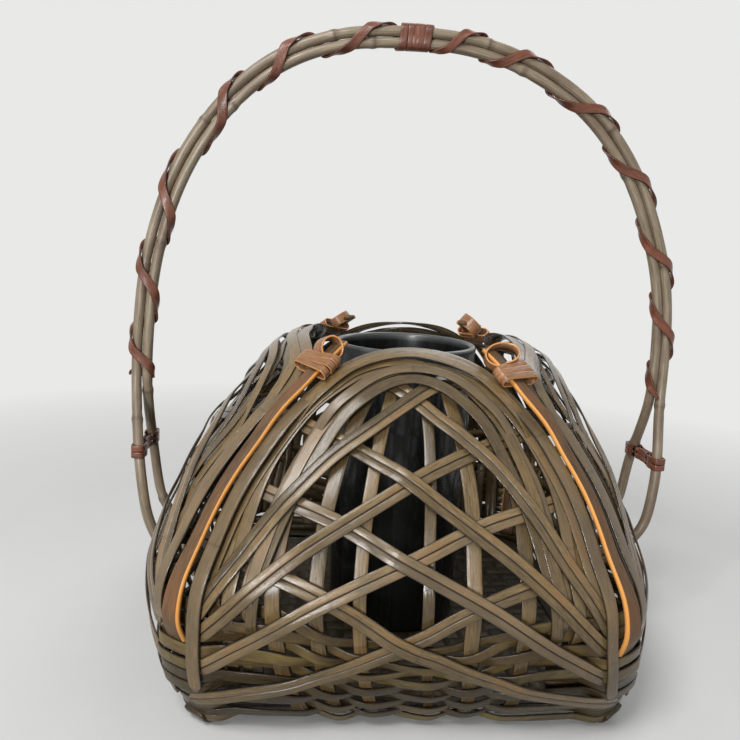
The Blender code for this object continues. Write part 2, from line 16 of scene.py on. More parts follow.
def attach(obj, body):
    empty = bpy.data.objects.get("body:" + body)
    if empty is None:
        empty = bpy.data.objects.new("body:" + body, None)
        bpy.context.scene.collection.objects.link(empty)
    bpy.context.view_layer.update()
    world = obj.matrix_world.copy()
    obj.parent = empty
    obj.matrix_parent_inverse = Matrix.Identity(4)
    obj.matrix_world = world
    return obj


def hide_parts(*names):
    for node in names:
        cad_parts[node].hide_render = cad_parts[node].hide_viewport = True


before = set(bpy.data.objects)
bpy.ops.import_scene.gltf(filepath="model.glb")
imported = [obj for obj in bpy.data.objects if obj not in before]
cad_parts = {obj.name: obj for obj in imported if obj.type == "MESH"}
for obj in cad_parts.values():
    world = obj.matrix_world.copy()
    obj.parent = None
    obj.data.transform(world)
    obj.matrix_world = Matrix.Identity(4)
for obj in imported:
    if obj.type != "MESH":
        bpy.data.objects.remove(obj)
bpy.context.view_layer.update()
MM = 0.001

# The wall and the weave, as in the source

BODY_HEIGHT = 146 * MM
BODY_HALF_WIDTH = 105.3 * MM
# Distance up the wall, height, half width and squareness
WALL = np.array((
    (0.000, 0.022, 0.821, 12.0), (0.068, 0.066, 0.859, 9.0), (0.164, 0.157, 0.927, 6.5),
    (0.288, 0.275, 0.982, 5.0), (0.411, 0.391, 1.000, 4.2), (0.548, 0.517, 0.946, 3.6),
    (0.671, 0.635, 0.873, 3.2), (0.781, 0.742, 0.771, 2.9), (0.877, 0.835, 0.670, 2.6),
    (0.952, 0.905, 0.575, 2.4), (1.048, 0.950, 0.446, 2.2), (1.123, 0.955, 0.345, 2.0),
))
SIDE_SHARES = ((0.0, 1.0), (0.10, 0.985), (0.30, 0.962), (0.50, 0.965), (0.70, 0.985), (0.90, 1.01),
               (1.10, 1.02))
SHIFT_SHARES = ((0.0, -0.022), (0.25, -0.040), (0.50, -0.040), (0.75, -0.022), (0.95, 0.0))
# Distance up the wall, turn and squeeze
WEAVE = np.array((
    (0.00, 0.5, 0.5), (0.10, 0.9, 0.9), (0.22, 2.2, 2.3), (0.36, 3.3, 3.5),
    (0.60, 3.6, 4.2), (0.80, 4.0, 6.2), (0.96, 5.0, 11.6), (1.10, 5.3, 12.6),
))
STRIP_THICKNESS = 0.9 * MM
STRIP_GAP = 0.62 * MM
LEVEL = STRIP_THICKNESS + STRIP_GAP
CORNERS = {"front_right": 45, "back_right": 135, "back_left": 225, "front_left": 315}
PANELS = {"front": 0, "right": 90, "back": 180, "left": 270}


def smooth_through(table, x):
    """Values at x of a smooth curve through (x, y) rows that never overshoots them."""
    table = np.asarray(table, float)
    xs, ys = table[:, 0], table[:, 1]
    x = np.clip(np.asarray(x, float), xs[0], xs[-1])
    slopes = np.diff(ys) / np.diff(xs)
    before, after = slopes[:-1], slopes[1:]
    both = before + after
    inner = np.where(before * after <= 0, 0, 2 * before * after / np.where(both == 0, 1, both))
    tangents = np.concatenate(([slopes[0]], inner, [slopes[-1]]))
    i = np.clip(np.searchsorted(xs, x, side="right") - 1, 0, len(xs) - 2)
    step = xs[i + 1] - xs[i]
    t = (x - xs[i]) / step
    rise = t * t * (3 - 2 * t)
    lead = t * (1 - t) * (1 - t) * tangents[i] - t * t * (1 - t) * tangents[i + 1]
    return ys[i] * (1 - rise) + ys[i + 1] * rise + step * lead


def steps_through(table, x):
    return np.interp(x, *np.transpose(table))


def columns_through(rows, last, count):
    """Smooth curves of count values through the columns of rows, which lie evenly between 0 and last."""
    order, at = np.linspace(0, last, len(rows)), np.linspace(0, last, count)
    return np.array([smooth_through(np.stack((order, column), -1), at) for column in np.transpose(rows)])


def ease(t):
    t = np.clip(t, 0, 1)
    return t * t * (3 - 2 * t)


def unit(v):
    return v / np.maximum(np.linalg.norm(v, axis=-1, keepdims=True), 1e-12)


def weave_turn(up):
    return np.radians(smooth_through(WEAVE[:, (0, 1)], np.asarray(up, float) / BODY_HEIGHT))


def wall_point(angle, up):
    share = np.asarray(up, float) / BODY_HEIGHT
    height = BODY_HEIGHT * smooth_through(WALL[:, (0, 1)], share)
    half = BODY_HALF_WIDTH * smooth_through(WALL[:, (0, 2)], share)
    square = smooth_through(WALL[:, (0, 3)], share)
    turned = angle + weave_turn(up)
    radius = half / (np.abs(np.sin(turned)) ** square + np.abs(np.cos(turned)) ** square) ** (1 / square)
    side = smooth_through(SIDE_SHARES, share)
    shift = BODY_HALF_WIDTH * smooth_through(SHIFT_SHARES, share)
    return np.stack((radius * np.sin(angle) * side + shift, -radius * np.cos(angle), height), -1)


def wall_normal(angle, up):
    turn, rise = math.radians(1), BODY_HEIGHT / 200
    round_it = wall_point(angle + turn, up) - wall_point(angle - turn, up)
    up_it = wall_point(angle, up + rise) - wall_point(angle, up - rise)
    return unit(np.cross(round_it, up_it))


def weave_angle(degrees, up):
    plain = np.radians(degrees)
    share = np.asarray(up, float) / BODY_HEIGHT
    squeeze = np.radians(smooth_through(WEAVE[:, (0, 2)], share))
    return plain - squeeze * np.sin(2 * plain) - weave_turn(up)


def on_weave(degrees, up, level):
    """Points and outward directions of places in the weave, on levels counted from the stakes."""
    degrees, up = np.broadcast_arrays(np.asarray(degrees, float), np.asarray(up, float))
    angle = weave_angle(degrees, up)
    normal = wall_normal(angle, up)
    return wall_point(angle, up) + normal * (np.asarray(level, float) * LEVEL)[..., None], normal


# Meshes

random.seed(7)
UP = np.array((0.0, 0.0, 1.0))
DOWN = np.array((0.0, 0.0, -1.0))
# Step between the points of a strip
FINE = 2.4 * MM
# The uv layer counts centimetres, and a strip's tint also moves its texture along
UV_PER_METRE = 100
TEXTURE_SHIFT = 7.3
OTHER_HALF_TINT = 0.37
TAPER_END_SHARE = 0.35
ROD_SIDES = 14


def cross_section(*left, crest=()):
    """A section that mirrors its left half: across, up and depth in a seam, as shares of width and thickness."""
    return (*left, *crest, *((-across, up, seam) for across, up, seam in reversed(left)), (0.0, -0.50, 0))


SINGLE = cross_section((-0.500, -0.42, 0), (-0.500, 0.16, 0), (-0.482, 0.40, 0), (-0.450, 0.49, 0),
                       (-0.250, 0.505, 0), crest=((0.0, 0.51, 0),))
DOUBLE = cross_section((-0.500, -0.42, 0), (-0.500, 0.16, 0), (-0.482, 0.40, 0), (-0.455, 0.49, 0),
                       (-0.250, 0.52, 0), (-0.080, 0.50, 0), (-0.045, 0.42, 0.3), (-0.028, -0.05, 1))


def lengths_along(points):
    return np.concatenate(([0], np.cumsum(np.linalg.norm(np.diff(points, axis=0), axis=1))))


def picked(wanted, at, rows):
    """Rows of a table at the wanted distances along its path."""
    return np.stack([np.interp(wanted, at, column) for column in np.transpose(rows)], -1)


def evenly(points, step, *others):
    """The same path with points a step apart; the other columns go along with it."""
    at = lengths_along(points)
    wanted = np.linspace(0, at[-1], max(4, int(round(at[-1] / step))) + 1)
    return [picked(wanted, at, np.reshape(column, (len(at), -1))).reshape((len(wanted),) + np.shape(column)[1:])
            for column in (points, *others)]


def rounded(points, normals, passes):
    """Softens the bends of a path, and keeps its ends."""
    points, normals = points.copy(), normals.copy()
    for _ in range(passes):
        for values in (points, normals):
            values[1:-1] = values[1:-1] * 0.5 + (values[:-2] + values[2:]) * 0.25
    return points, unit(normals)


def laid(points, normals, *others, step=FINE, passes=3):
    """A path with even points and softened bends; the other columns go along with it."""
    points, normals, *others = evenly(points, step, normals, *others)
    return (*rounded(points, unit(normals), passes), *others)


def ahead_of(points):
    """Directions along a closed path."""
    return np.roll(points, -1, 0) - np.roll(points, 1, 0)


class Piece:
    """Gathers the strips of one visible piece, then makes its mesh."""

    def __init__(self, name):
        self.name = name
        self.verts, self.faces = [], []
        self.uv, self.tint, self.edge, self.seam = [], [], [], []

    def grid(self, points, across, along, tint, edge, seam, closed=False):
        """A tube of rows: points has the shape (rows, round, 3), and the other values spread over it."""
        rows, sides = shape = points.shape[:2]
        base = len(self.verts)
        self.verts.extend(points.reshape(-1, 3).tolist())
        uv = np.stack(np.broadcast_arrays(across, along), -1) * UV_PER_METRE
        self.uv.extend(uv.reshape(-1, 2).tolist())
        for values, into in ((tint, self.tint), (edge, self.edge), (seam, self.seam)):
            into.extend(np.broadcast_to(values, shape).ravel().tolist())
        for i in range(rows if closed else rows - 1):
            a, b = base + i * sides, base + (i + 1) % rows * sides
            for k in range(sides):
                n = (k + 1) % sides
                self.faces.append((a + k, a + n, b + n, b + k))
        if not closed:
            self.faces.append(tuple(range(base + sides - 1, base - 1, -1)))
            last = base + (rows - 1) * sides
            self.faces.append(tuple(range(last, last + sides)))

    def strip(self, points, normals, width, thickness, section=SINGLE, closed=False, tint=None, taper=0.0,
              cut_side=0, roll=0.0):
        """A flat strip along points, its face looking along normals. A cut side of 1 or -1 marks one edge only."""
        shape = (len(points),)
        along = unit(ahead_of(points) if closed else np.gradient(points, axis=0))
        side = unit(np.cross(along, normals))
        side = unit(side + unit(normals) * np.broadcast_to(roll, shape)[:, None])
        face = unit(np.cross(side, along))
        width = np.broadcast_to(np.asarray(width, float), shape).copy()
        at = lengths_along(points)
        if taper:
            width *= TAPER_END_SHARE + (1 - TAPER_END_SHARE) * ease(np.minimum(at, at[-1] - at) / taper)
        across, up, seam = np.transpose(section)
        reach = across * width[:, None]
        ring = points[:, None] + side[:, None] * reach[..., None] + face[:, None] * (up * thickness)[:, None]
        tint = random.random() if tint is None else tint
        halves = np.where(across > 0, tint, (tint + OTHER_HALF_TINT) % 1) if section is DOUBLE else tint
        edge = np.maximum(across * cut_side, 0) if cut_side else np.abs(across)
        self.grid(ring, reach, at[:, None] + TEXTURE_SHIFT * tint, halves, edge * 2, seam, closed)

    def round_rod(self, points, radius, edge):
        """A round cane along points. The edge marks its nodes."""
        along = unit(np.gradient(points, axis=0))
        side = unit(np.cross(along, (0.0, 1.0, 0.13)))
        other = np.cross(along, side)
        a = np.linspace(0, 2 * math.pi, ROD_SIDES, endpoint=False)
        out = side[:, None] * np.cos(a)[:, None] + other[:, None] * np.sin(a)[:, None]
        tint = random.random()
        self.grid(points[:, None] + out * radius[:, None, None], a * ROD_RADIUS,
                  lengths_along(points)[:, None] + TEXTURE_SHIFT * tint, tint, edge[:, None], 0.0)

    def make(self, material, replaces=(), body="basket"):
        mesh = bpy.data.meshes.new(self.name)
        mesh.from_pydata(self.verts, [], self.faces)
        layer = mesh.uv_layers.new(name="strip")
        loops = np.zeros(len(mesh.loops), np.int64)
        mesh.loops.foreach_get("vertex_index", loops)
        layer.data.foreach_set("uv", np.asarray(self.uv, np.float32)[loops].ravel())
        for name, values in (("tint", self.tint), ("edge", self.edge), ("seam", self.seam)):
            mesh.attributes.new(name, "FLOAT", "POINT").data.foreach_set("value", np.asarray(values, np.float32))
        mesh.materials.append(material)
        mesh.polygons.foreach_set("use_smooth", np.ones(len(mesh.polygons), bool))
        mesh.update()
        obj = bpy.data.objects.new(self.name, mesh)
        bpy.context.scene.collection.objects.link(obj)
        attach(obj, body)
        if replaces:
            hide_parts(*replaces)
        return obj


def wobble(count, size, period, seed):
    """A smooth, seeded wander along a strip."""
    source = random.Random(seed)
    knots = [[source.uniform(-1, 1)] for _ in range(max(3, int(count / period) + 2))]
    return size * columns_through(knots, count - 1, count)[0]


SEEDS = 1000
ROLL = 0.10
ROLL_PERIOD = 11


def strip_roll(count):
    """How far a strip leans to one side and the other along its length, so that its sheen comes and goes."""
    return wobble(count, ROLL, ROLL_PERIOD, random.randrange(SEEDS))


# Materials

class Nodes:
    """Short words for building the node tree of a material or a world."""

    def __init__(self, owner):
        owner.use_nodes = True
        self.owner, self.tree = owner, owner.node_tree
        self.shader = self.tree.nodes.get("Principled BSDF")

    def node(self, kind, inputs=None, **settings):
        node = self.tree.nodes.new(kind)
        for key, value in settings.items():
            setattr(node, key, value)
        for key, value in (inputs or {}).items():
            self.put(node.inputs[key], value)
        return node

    def put(self, socket, value):
        if isinstance(value, bpy.types.NodeSocket):
            self.tree.links.new(value, socket)
        else:
            socket.default_value = (*value, 1.0) if socket.type == "RGBA" else value

    def set(self, **values):
        for key, value in values.items():
            self.put(self.shader.inputs[key.replace("_", " ")], value)

    def math(self, operation, a, b=0.0, clamp=False):
        node = self.node("ShaderNodeMath", operation=operation, use_clamp=clamp)
        self.put(node.inputs[0], a)
        self.put(node.inputs[1], b)
        return node.outputs[0]

    def times(self, a, b):
        return self.math("MULTIPLY", a, b)

    def ramp(self, value, low, high, out_low=0.0, out_high=1.0):
        node = self.node("ShaderNodeMapRange", {"Value": value, "From Min": low, "From Max": high,
                                                "To Min": out_low, "To Max": out_high})
        return node.outputs["Result"]

    def attribute(self, name):
        return self.node("ShaderNodeAttribute", attribute_name=name, attribute_type="GEOMETRY").outputs["Fac"]

    def mix(self, share, a, b, blend="MIX"):
        node = self.node("ShaderNodeMix", data_type="RGBA", blend_type=blend)
        self.put(node.inputs["Factor"], share)
        self.put(node.inputs["A"], a)
        self.put(node.inputs["B"], b)
        return node.outputs["Result"]

    def noise(self, vector, scale, detail, roughness):
        return self.node("ShaderNodeTexNoise", {"Vector": vector, "Scale": scale, "Detail": detail,
                                                "Roughness": roughness}).outputs["Fac"]

    def strip_uv(self):
        return self.node("ShaderNodeUVMap", uv_map="strip").outputs["UV"]

    def grain(self, across, along, detail=3.0, roughness=0.6):
        """Noise in the strips' own uv, finer across than along."""
        scaled = self.node("ShaderNodeMapping", {"Vector": self.strip_uv(), "Scale": (across, along, 1.0)})
        return self.noise(scaled.outputs["Vector"], 1.0, detail, roughness)

    def finish(self, colour, rough, height, bump, gloss, coat, coat_rough):
        """Sets the shader; a bump is its strength and its depth."""
        strength, depth = bump
        bump = self.node("ShaderNodeBump", {"Strength": strength, "Distance": depth, "Height": height})
        self.set(Base_Color=colour, Roughness=rough, Normal=bump.outputs["Normal"], Specular_IOR_Level=gloss,
                 Coat_Weight=coat, Coat_Roughness=coat_rough)
        return self.owner

    def blend(self, output, share, near, far):
        """Shows a blend of two shaders."""
        both = self.node("ShaderNodeMixShader", {0: share, 1: near, 2: far})
        self.put(self.tree.nodes[output].inputs["Surface"], both.outputs["Shader"])


NODE_SPACING_CM = 9.0
# Painted shade in the groove between the two halves of a double strip
PAINTED_SEAM_SHADE = (0.016, 0.008, 0.005)


def bamboo(name, dark, middle, light, roughness, coat, gloss=0.5, edge=None, patch=None, grey=None,
           spread=(0.62, 1.3), nodes=0.0, grain=1.0):
    """Split bamboo: long fibres, a tint for each strip, dull patches, node lines, painted shade in the seams, and
    edges that are a bright cut on straps and ties and painted shade on the other strips.

    An edge is its colour, the shares of the half width where it starts and is full, and its strength. The spread
    is the shade of the darkest and of the lightest strip.
    """
    n = Nodes(bpy.data.materials.new(name))
    tint, seam = n.attribute("tint"), n.attribute("seam")
    fibre = n.grain(22.0, 0.7, 4.0, 0.62)
    fine = n.grain(80.0, 2.2, 2.0, 0.5)
    cloud = n.grain(1.1, 0.36)
    body = n.mix(n.ramp(fibre, 0.34, 0.58), dark, middle)
    body = n.mix(n.times(n.ramp(fine, 0.42, 0.66), 0.6), body, light)
    if grey:
        other = n.math("FRACT", n.times(tint, 5.0))
        body = n.mix(n.ramp(other, 0.35, 0.95, 0.0, 0.7), body, grey)
    along = n.node("ShaderNodeSeparateXYZ", {"Vector": n.strip_uv()}).outputs["Y"]
    off_node = n.math("ABSOLUTE", n.math("SUBTRACT", n.math("FRACT", n.math("DIVIDE", along, NODE_SPACING_CM)), 0.5))
    node_line = n.ramp(off_node, 0.003, 0.010, nodes, 0.0)
    shade = n.times(n.ramp(tint, 0.0, 1.0, *spread), n.ramp(cloud, 0.3, 0.7, 0.70, 1.22))
    shade = n.times(shade, n.math("SUBTRACT", 1.0, node_line))
    shade = n.node("ShaderNodeCombineColor", {"Red": shade, "Green": shade, "Blue": shade}).outputs["Color"]
    body = n.mix(1.0, body, shade, "MULTIPLY")
    if patch:
        body = n.mix(n.times(n.ramp(cloud, 0.48, 0.68), n.ramp(tint, 0.2, 0.9)), body, patch)
    # The edge colour is a bright cut edge on straps and ties, and painted shade along the edges of the strips, weft
    # and strand
    if edge:
        edge_colour, start, full, strength = edge
        body = n.mix(n.times(n.ramp(n.attribute("edge"), start, full), strength), body, edge_colour)
    # Painted shade in the seams
    body = n.mix(seam, body, PAINTED_SEAM_SHADE)
    rough = n.ramp(cloud, 0.3, 0.7, roughness - 0.07, roughness + 0.12)
    rough = n.math("ADD", rough, n.times(seam, 0.4), True)
    height = n.math("ADD", n.math("ADD", fibre, n.times(fine, 0.6)), n.times(node_line, 2.0))
    return n.finish(body, rough, height, (0.45 * grain, 0.00022), gloss, coat, 0.20)


# Painted shade: a thin dark line along the edges of the strips and the weft rows
PAINTED_EDGE_SHADE = (0.030, 0.020, 0.012)
STRIP = bamboo("strip_bamboo", (0.056, 0.032, 0.011), (0.165, 0.109, 0.044), (0.315, 0.224, 0.106), 0.20,
               coat=0.06, gloss=0.44, edge=(PAINTED_EDGE_SHADE, 0.84, 1.0, 0.95), patch=(0.190, 0.100, 0.036),
               grey=(0.205, 0.148, 0.090), spread=(0.50, 1.35), nodes=0.20, grain=0.7)
# The weft's colours are darker than the strips' to paint the shade low on the wall; their olive hue is the weft's own
WEFT = bamboo("weft_bamboo", (0.022, 0.014, 0.005), (0.088, 0.060, 0.021), (0.245, 0.178, 0.070), 0.26,
              coat=0.05, gloss=0.28, edge=(PAINTED_EDGE_SHADE, 0.80, 1.0, 1.0), patch=(0.165, 0.122, 0.030),
              grey=(0.080, 0.048, 0.020), spread=(0.40, 1.25), nodes=0.15)
STRAP = bamboo("strap_bamboo", (0.055, 0.028, 0.013), (0.148, 0.082, 0.040), (0.220, 0.138, 0.074), 0.38,
               coat=0.0, gloss=0.22, edge=((0.74, 0.335, 0.085), 0.80, 0.83, 1.0), patch=(0.210, 0.072, 0.024))
TIE = bamboo("tie_bamboo", (0.110, 0.044, 0.017), (0.265, 0.118, 0.047), (0.45, 0.240, 0.108), 0.28,
             coat=0.2, gloss=0.35, edge=((0.66, 0.29, 0.085), 0.90, 0.96, 1.0), spread=(0.8, 1.25))
# The strand's dark edge colour is painted shade along its edges
WRAP = bamboo("wrap_cane", (0.062, 0.018, 0.009), (0.165, 0.050, 0.026), (0.30, 0.122, 0.068), 0.28,
              coat=0.15, gloss=0.35, edge=((0.060, 0.020, 0.012), 0.86, 1.0, 0.7), spread=(0.85, 1.2))
MAT = bamboo("mat_bamboo", (0.026, 0.018, 0.009), (0.060, 0.044, 0.022), (0.105, 0.082, 0.045), 0.5, coat=0.05)


def cane():
    """Thin bamboo cane: olive to grey-brown, with long fibres and darker nodes."""
    n = Nodes(bpy.data.materials.new("rod_cane"))
    fibre = n.grain(15.0, 0.5, 4.0)
    fine = n.grain(60.0, 1.4, 2.0, 0.5)
    cloud = n.grain(0.8, 0.35)
    body = n.mix(n.ramp(fibre, 0.34, 0.66), (0.120, 0.086, 0.056), (0.300, 0.238, 0.156))
    body = n.mix(n.times(n.ramp(fine, 0.45, 0.7), 0.45), body, (0.42, 0.35, 0.245))
    body = n.mix(n.ramp(cloud, 0.44, 0.66), body, (0.150, 0.105, 0.070))
    body = n.mix(n.times(n.attribute("edge"), 0.75), body, (0.060, 0.040, 0.028))
    return n.finish(body, n.ramp(cloud, 0.3, 0.7, 0.34, 0.5), fibre, (0.4, 0.00025), 0.5, 0.15, 0.3)


def lacquer():
    """Black lacquer over a bamboo tube: faint upright ridges, and a rim worn to grey."""
    n = Nodes(bpy.data.materials.new("tube_lacquer"))
    ridge = n.grain(2.0, 0.06, 2.0, 0.5)
    cloud = n.grain(1.3, 1.1)
    body = n.mix(n.ramp(ridge, 0.35, 0.7), (0.0055, 0.006, 0.0055), (0.010, 0.011, 0.010))
    rub = n.math("MULTIPLY", n.attribute("edge"), n.ramp(cloud, 0.25, 0.6, 0.55, 1.0), True)
    body = n.mix(rub, body, (0.052, 0.058, 0.056))
    rough = n.math("ADD", n.ramp(ridge, 0.3, 0.7, 0.22, 0.30), n.times(rub, 0.16), True)
    return n.finish(body, rough, ridge, (0.10, 0.0004), 0.40, 0.25, 0.10)


CANE = cane()
LACQUER = lacquer()

# Stakes

STAKE_WIDTHS_MM = (5.8, 5.5, 5.0, 4.4, 5.7, 5.8)
STAKE_ANGLES = (-29.0, -20.3, -10.7, 5.5, 16.0, 27.3)
STAKE_FAN_SHARE = 0.3
STAKE_FAN_MIDDLE_SHARE = 0.45
STAKE_TOP_SHARE = 0.985
STAKE_BASE_HEIGHT = 3.6 * MM
STAKE_FOOT = 3 * MM
BASE_BEND = 9 * MM
BASE_BEND_SHARE = 0.3
STAKE_SAMPLES = 60
# The stakes' low tints paint the shade they lie in behind the strips that cross them, and also give each stake its
# own tone
STAKE_TINTS = (0.43, 0.24, 0.62, 0.05, 0.42, 0.22)


def stake_angle(degrees, up):
    return degrees * (1 + STAKE_FAN_SHARE * (up / BODY_HEIGHT - STAKE_FAN_MIDDLE_SHARE))


def stake_side(panel, degrees, base_height):
    """Fine path of a stake from its top down to the start of the base."""
    up = np.linspace(STAKE_TOP_SHARE * BODY_HEIGHT, STAKE_FOOT, STAKE_SAMPLES)
    points, normals = on_weave(PANELS[panel] + stake_angle(degrees, up), up, 0)
    low, low_normal = points[-1], normals[-1]
    inwards = -wall_normal(np.array(math.radians(PANELS[panel])), np.array(BODY_HEIGHT / 2))
    inwards[2] = 0
    inwards = unit(inwards)
    bend = np.array((low[0], low[1], base_height + (low[2] - base_height) * BASE_BEND_SHARE))
    bend = bend + inwards * BASE_BEND * BASE_BEND_SHARE
    start = np.array((low[0], low[1], base_height)) + inwards * BASE_BEND
    return np.concatenate((points, [bend, start])), np.concatenate((normals, [unit(low_normal + DOWN), DOWN]))


def stakes():
    for count, degrees in enumerate(STAKE_ANGLES, 1):
        for name, near_panel, far_panel, height in (
                ("front_back", "front", "back", STAKE_BASE_HEIGHT),
                ("side_side", "right", "left", STAKE_BASE_HEIGHT + LEVEL)):
            near = stake_side(near_panel, degrees, height)
            far = stake_side(far_panel, -degrees, height)
            points, normals = laid(*(np.concatenate((a, b[::-1])) for a, b in zip(near, far)))
            piece = Piece(f"split_stake_{name}_{count}")
            piece.strip(points, normals, STAKE_WIDTHS_MM[count - 1] * MM, STRIP_THICKNESS,
                        tint=STAKE_TINTS[count - 1], roll=strip_roll(len(points)))
            piece.make(STRIP, [f"stake_{name}_{count}"])


# Weft

WEFT_ROWS = 11
WEFT_LOWEST = 4.7 * MM
WEFT_PITCH = 3.5 * MM
WEFT_PITCH_GROWTH = 0.06 * MM
WEFT_STRIP = 3.7 * MM
WEFT_JOIN = 12
WEFT_CORNER_RISE = 12 * MM
WEFT_RISE_START = 10
WEFT_RISE_REACH = 22
WEFT_SWING = 1.14
CAD_WEFT_ROWS = 5
# At a corner each row lies on one level: under the arcs' feet, then over the strap's end, then under the strap
WEFT_CORNER_LEVELS = (2.2, 2.0, 2.1, 1.9, 3.5, 3.3, 3.6, 3.4, 2.4, 2.1, 2.4)
WEFT_CORNER_WIDENING = 0.32
WEFT_CORNER_START = 37.0
WEFT_CORNER_REACH = 5.0
WEFT_WANDER = 1.0 * MM
WEFT_WIDTH_WANDER = 0.16
WEFT_SAMPLES = 500


def near_corner(degrees, start=WEFT_RISE_START, reach=WEFT_RISE_REACH):
    """Zero round the middle of each panel, and rising to one from start over the reach."""
    return ease((np.abs((degrees + 45) % 90 - 45) - start) / reach)


def weft_height(row, degrees):
    rise = near_corner(degrees) * row / (WEFT_ROWS - 1)
    return WEFT_LOWEST + row * WEFT_PITCH + row * row * WEFT_PITCH_GROWTH + WEFT_CORNER_RISE * rise


def weft_row(row):
    """A narrow strip that swings outside one stake and inside the next, all the way round."""
    mirrored = tuple(-angle for angle in reversed(STAKE_ANGLES))
    knots = []
    for name, panel in PANELS.items():
        for stake, degrees in enumerate(STAKE_ANGLES if name in ("front", "right") else mirrored):
            here = panel + stake_angle(degrees, weft_height(row, 0))
            knots.append((here, WEFT_SWING if (stake + row) % 2 else -WEFT_SWING))
    knots = [(knots[-1][0] - 360, knots[-1][1])] + knots + [(knots[0][0] + 360, knots[0][1])]
    degrees = np.linspace(-45, 315, WEFT_SAMPLES, endpoint=False)
    corner = near_corner(degrees, WEFT_CORNER_START, WEFT_CORNER_REACH)
    level = smooth_through(knots, degrees) * (1 - corner) + WEFT_CORNER_LEVELS[row] * corner
    # The row wanders up and down, but not where its ends meet
    wander = wobble(WEFT_SAMPLES, WEFT_WANDER, 12, 100 + row) * np.sin(np.radians(degrees / 2 + 22.5))
    points, normals = on_weave(degrees, weft_height(row, degrees) + wander, level)
    return points, normals, 1 + WEFT_CORNER_WIDENING * near_corner(degrees)


def wefts():
    rows = {k: [] for k in range(CAD_WEFT_ROWS)}
    for row in range(WEFT_ROWS):
        rows[max(row - 1, 0) // 2].append(row)
    for group, members in rows.items():
        piece = Piece(f"woven_weft_{group + 1}")
        for row in members:
            points, normals, corner_width = weft_row(row)
            width = WEFT_STRIP * (corner_width + wobble(len(points), WEFT_WIDTH_WANDER, 14, 200 + row))
            width[-1] = width[0]
            roll = strip_roll(len(points))
            roll[-WEFT_JOIN:] *= np.linspace(1, 0, WEFT_JOIN)
            roll[:WEFT_JOIN] *= np.linspace(0, 1, WEFT_JOIN)
            piece.strip(points, normals, width, STRIP_THICKNESS * 0.95, closed=True, roll=roll)
        piece.make(WEFT, [f"weft_row_{group + 1}"])


# Arcs over the corners

ARC_WIDTH = 6.4 * MM
ARC_SAMPLES = 500
END_TAPER = 3 * MM
# Angle from the corner, and distance up the wall as a share of the body's height
ARC_SHARES = {
    "low": ((0, 0.548), (22.5, 0.466), (45, 0.332), (67.5, 0.212), (79, 0.168), (89.3, 0.120)),
    "middle": ((0, 0.695), (22.5, 0.642), (45, 0.537), (67.5, 0.411), (78, 0.315), (88, 0.205)),
    "high": ((0, 0.846), (22.5, 0.801), (45, 0.719), (67.5, 0.575), (79, 0.430), (86.5, 0.310)),
    "top": ((0, 0.962), (22.5, 0.952), (45, 0.907), (67.5, 0.784), (76, 0.658), (84, 0.440), (87.5, 0.350)),
}
# Angle from the corner at which each arc's feet end, under the outer leg of the next panel
ARC_REACHES = {"low": 88.6, "middle": 86.3, "high": 86.3, "top": 87.2}
# Angle from the corner and level
ARC_UNDER = ((34, 1), (38.3, 2), (66, 2), (70.5, 3))
ARC_OVER = ((34, 1), (38.3, 2), (41.5, 3), (48.5, 3), (51.7, 2), (66, 2), (70.5, 3))
TOP_ARC_UNDER = ((29, 1), (34, 2), (56, 2), (61, 3))
TOP_ARC_OVER = ((29, 1), (34, 3))


def arcs():
    for corner, middle in CORNERS.items():
        for kind, shares in ARC_SHARES.items():
            left, right = (TOP_ARC_OVER, TOP_ARC_UNDER) if kind == "top" else (ARC_UNDER, ARC_OVER)
            reach = ARC_REACHES[kind]
            angle = np.linspace(-reach, reach, ARC_SAMPLES)
            up = BODY_HEIGHT * smooth_through(shares, np.abs(angle))
            level = np.where(angle < 0, steps_through(left, -angle), steps_through(right, angle))
            points, normals = laid(*on_weave(middle + angle, up, level))
            piece = Piece(f"double_arc_{corner}_{kind}")
            piece.strip(points, normals, ARC_WIDTH, STRIP_THICKNESS, DOUBLE, taper=END_TAPER,
                        roll=strip_roll(len(points)))
            piece.make(STRIP, [f"arc_{corner}_{kind}"])


# Arches over the panels

# Angle from the middle of the panel, and distance up the wall as a share of the body's height
ARCH_SHARES = {
    "outer": ((41.4, 0.096), (41.2, 0.411), (41.0, 0.685), (40.2, 0.877), (34, 0.976), (18, 1.028),
              (0, 1.045)),
    "middle": ((36.4, 0.096), (36.3, 0.411), (37.5, 0.616), (39.0, 0.753), (37.6, 0.870), (29, 0.952),
               (15, 0.986), (0, 0.995)),
    "inner": ((32, 0.096), (32, 0.411), (30.2, 0.651), (28.8, 0.753), (26.5, 0.850), (19, 0.914),
              (9, 0.938), (0, 0.944)),
}
ARCH_TOP_LEVEL = 4
ARCH_RISE_SHARES = (0.80, 0.88)
# Strips of each group: place at the left and at the right, from the outer arch to the inner one, level of the
# legs and of the crest, thickness and width in mm, and the share of the wall's height at which the legs go in
# under the weft
ARCH_STRIPS = {
    "outer": ((0.0, 0.0, 4.3, 4.0, 0.9, 5.8, 0.38), (0.42, 0.60, 1.55, 4.7, 0.5, 4.9, 0.44)),
    "middle": ((1.0, 1.0, 2.0, 3.0, 0.9, 5.2, 0.39), (1.62, 1.42, 1.55, 4.7, 0.5, 4.2, 0.46),
               (0.15, 1.75, 2.45, 3.5, 0.5, 4.6, 0.42)),
    "inner": ((2.0, 2.0, 2.0, 4.0, 0.9, 4.9, 0.37), (1.82, 0.20, 2.45, 2.35, 0.5, 4.6, 0.43)),
}
ARCH_LEG_NARROWING = 0.16
LEG_TUCK_SHARE = 0.10
LEG_END_SHARE = 0.12
LEG_TUCKED_LEVELS = {"outer": 1.6, "middle": -2.0, "inner": -2.0}
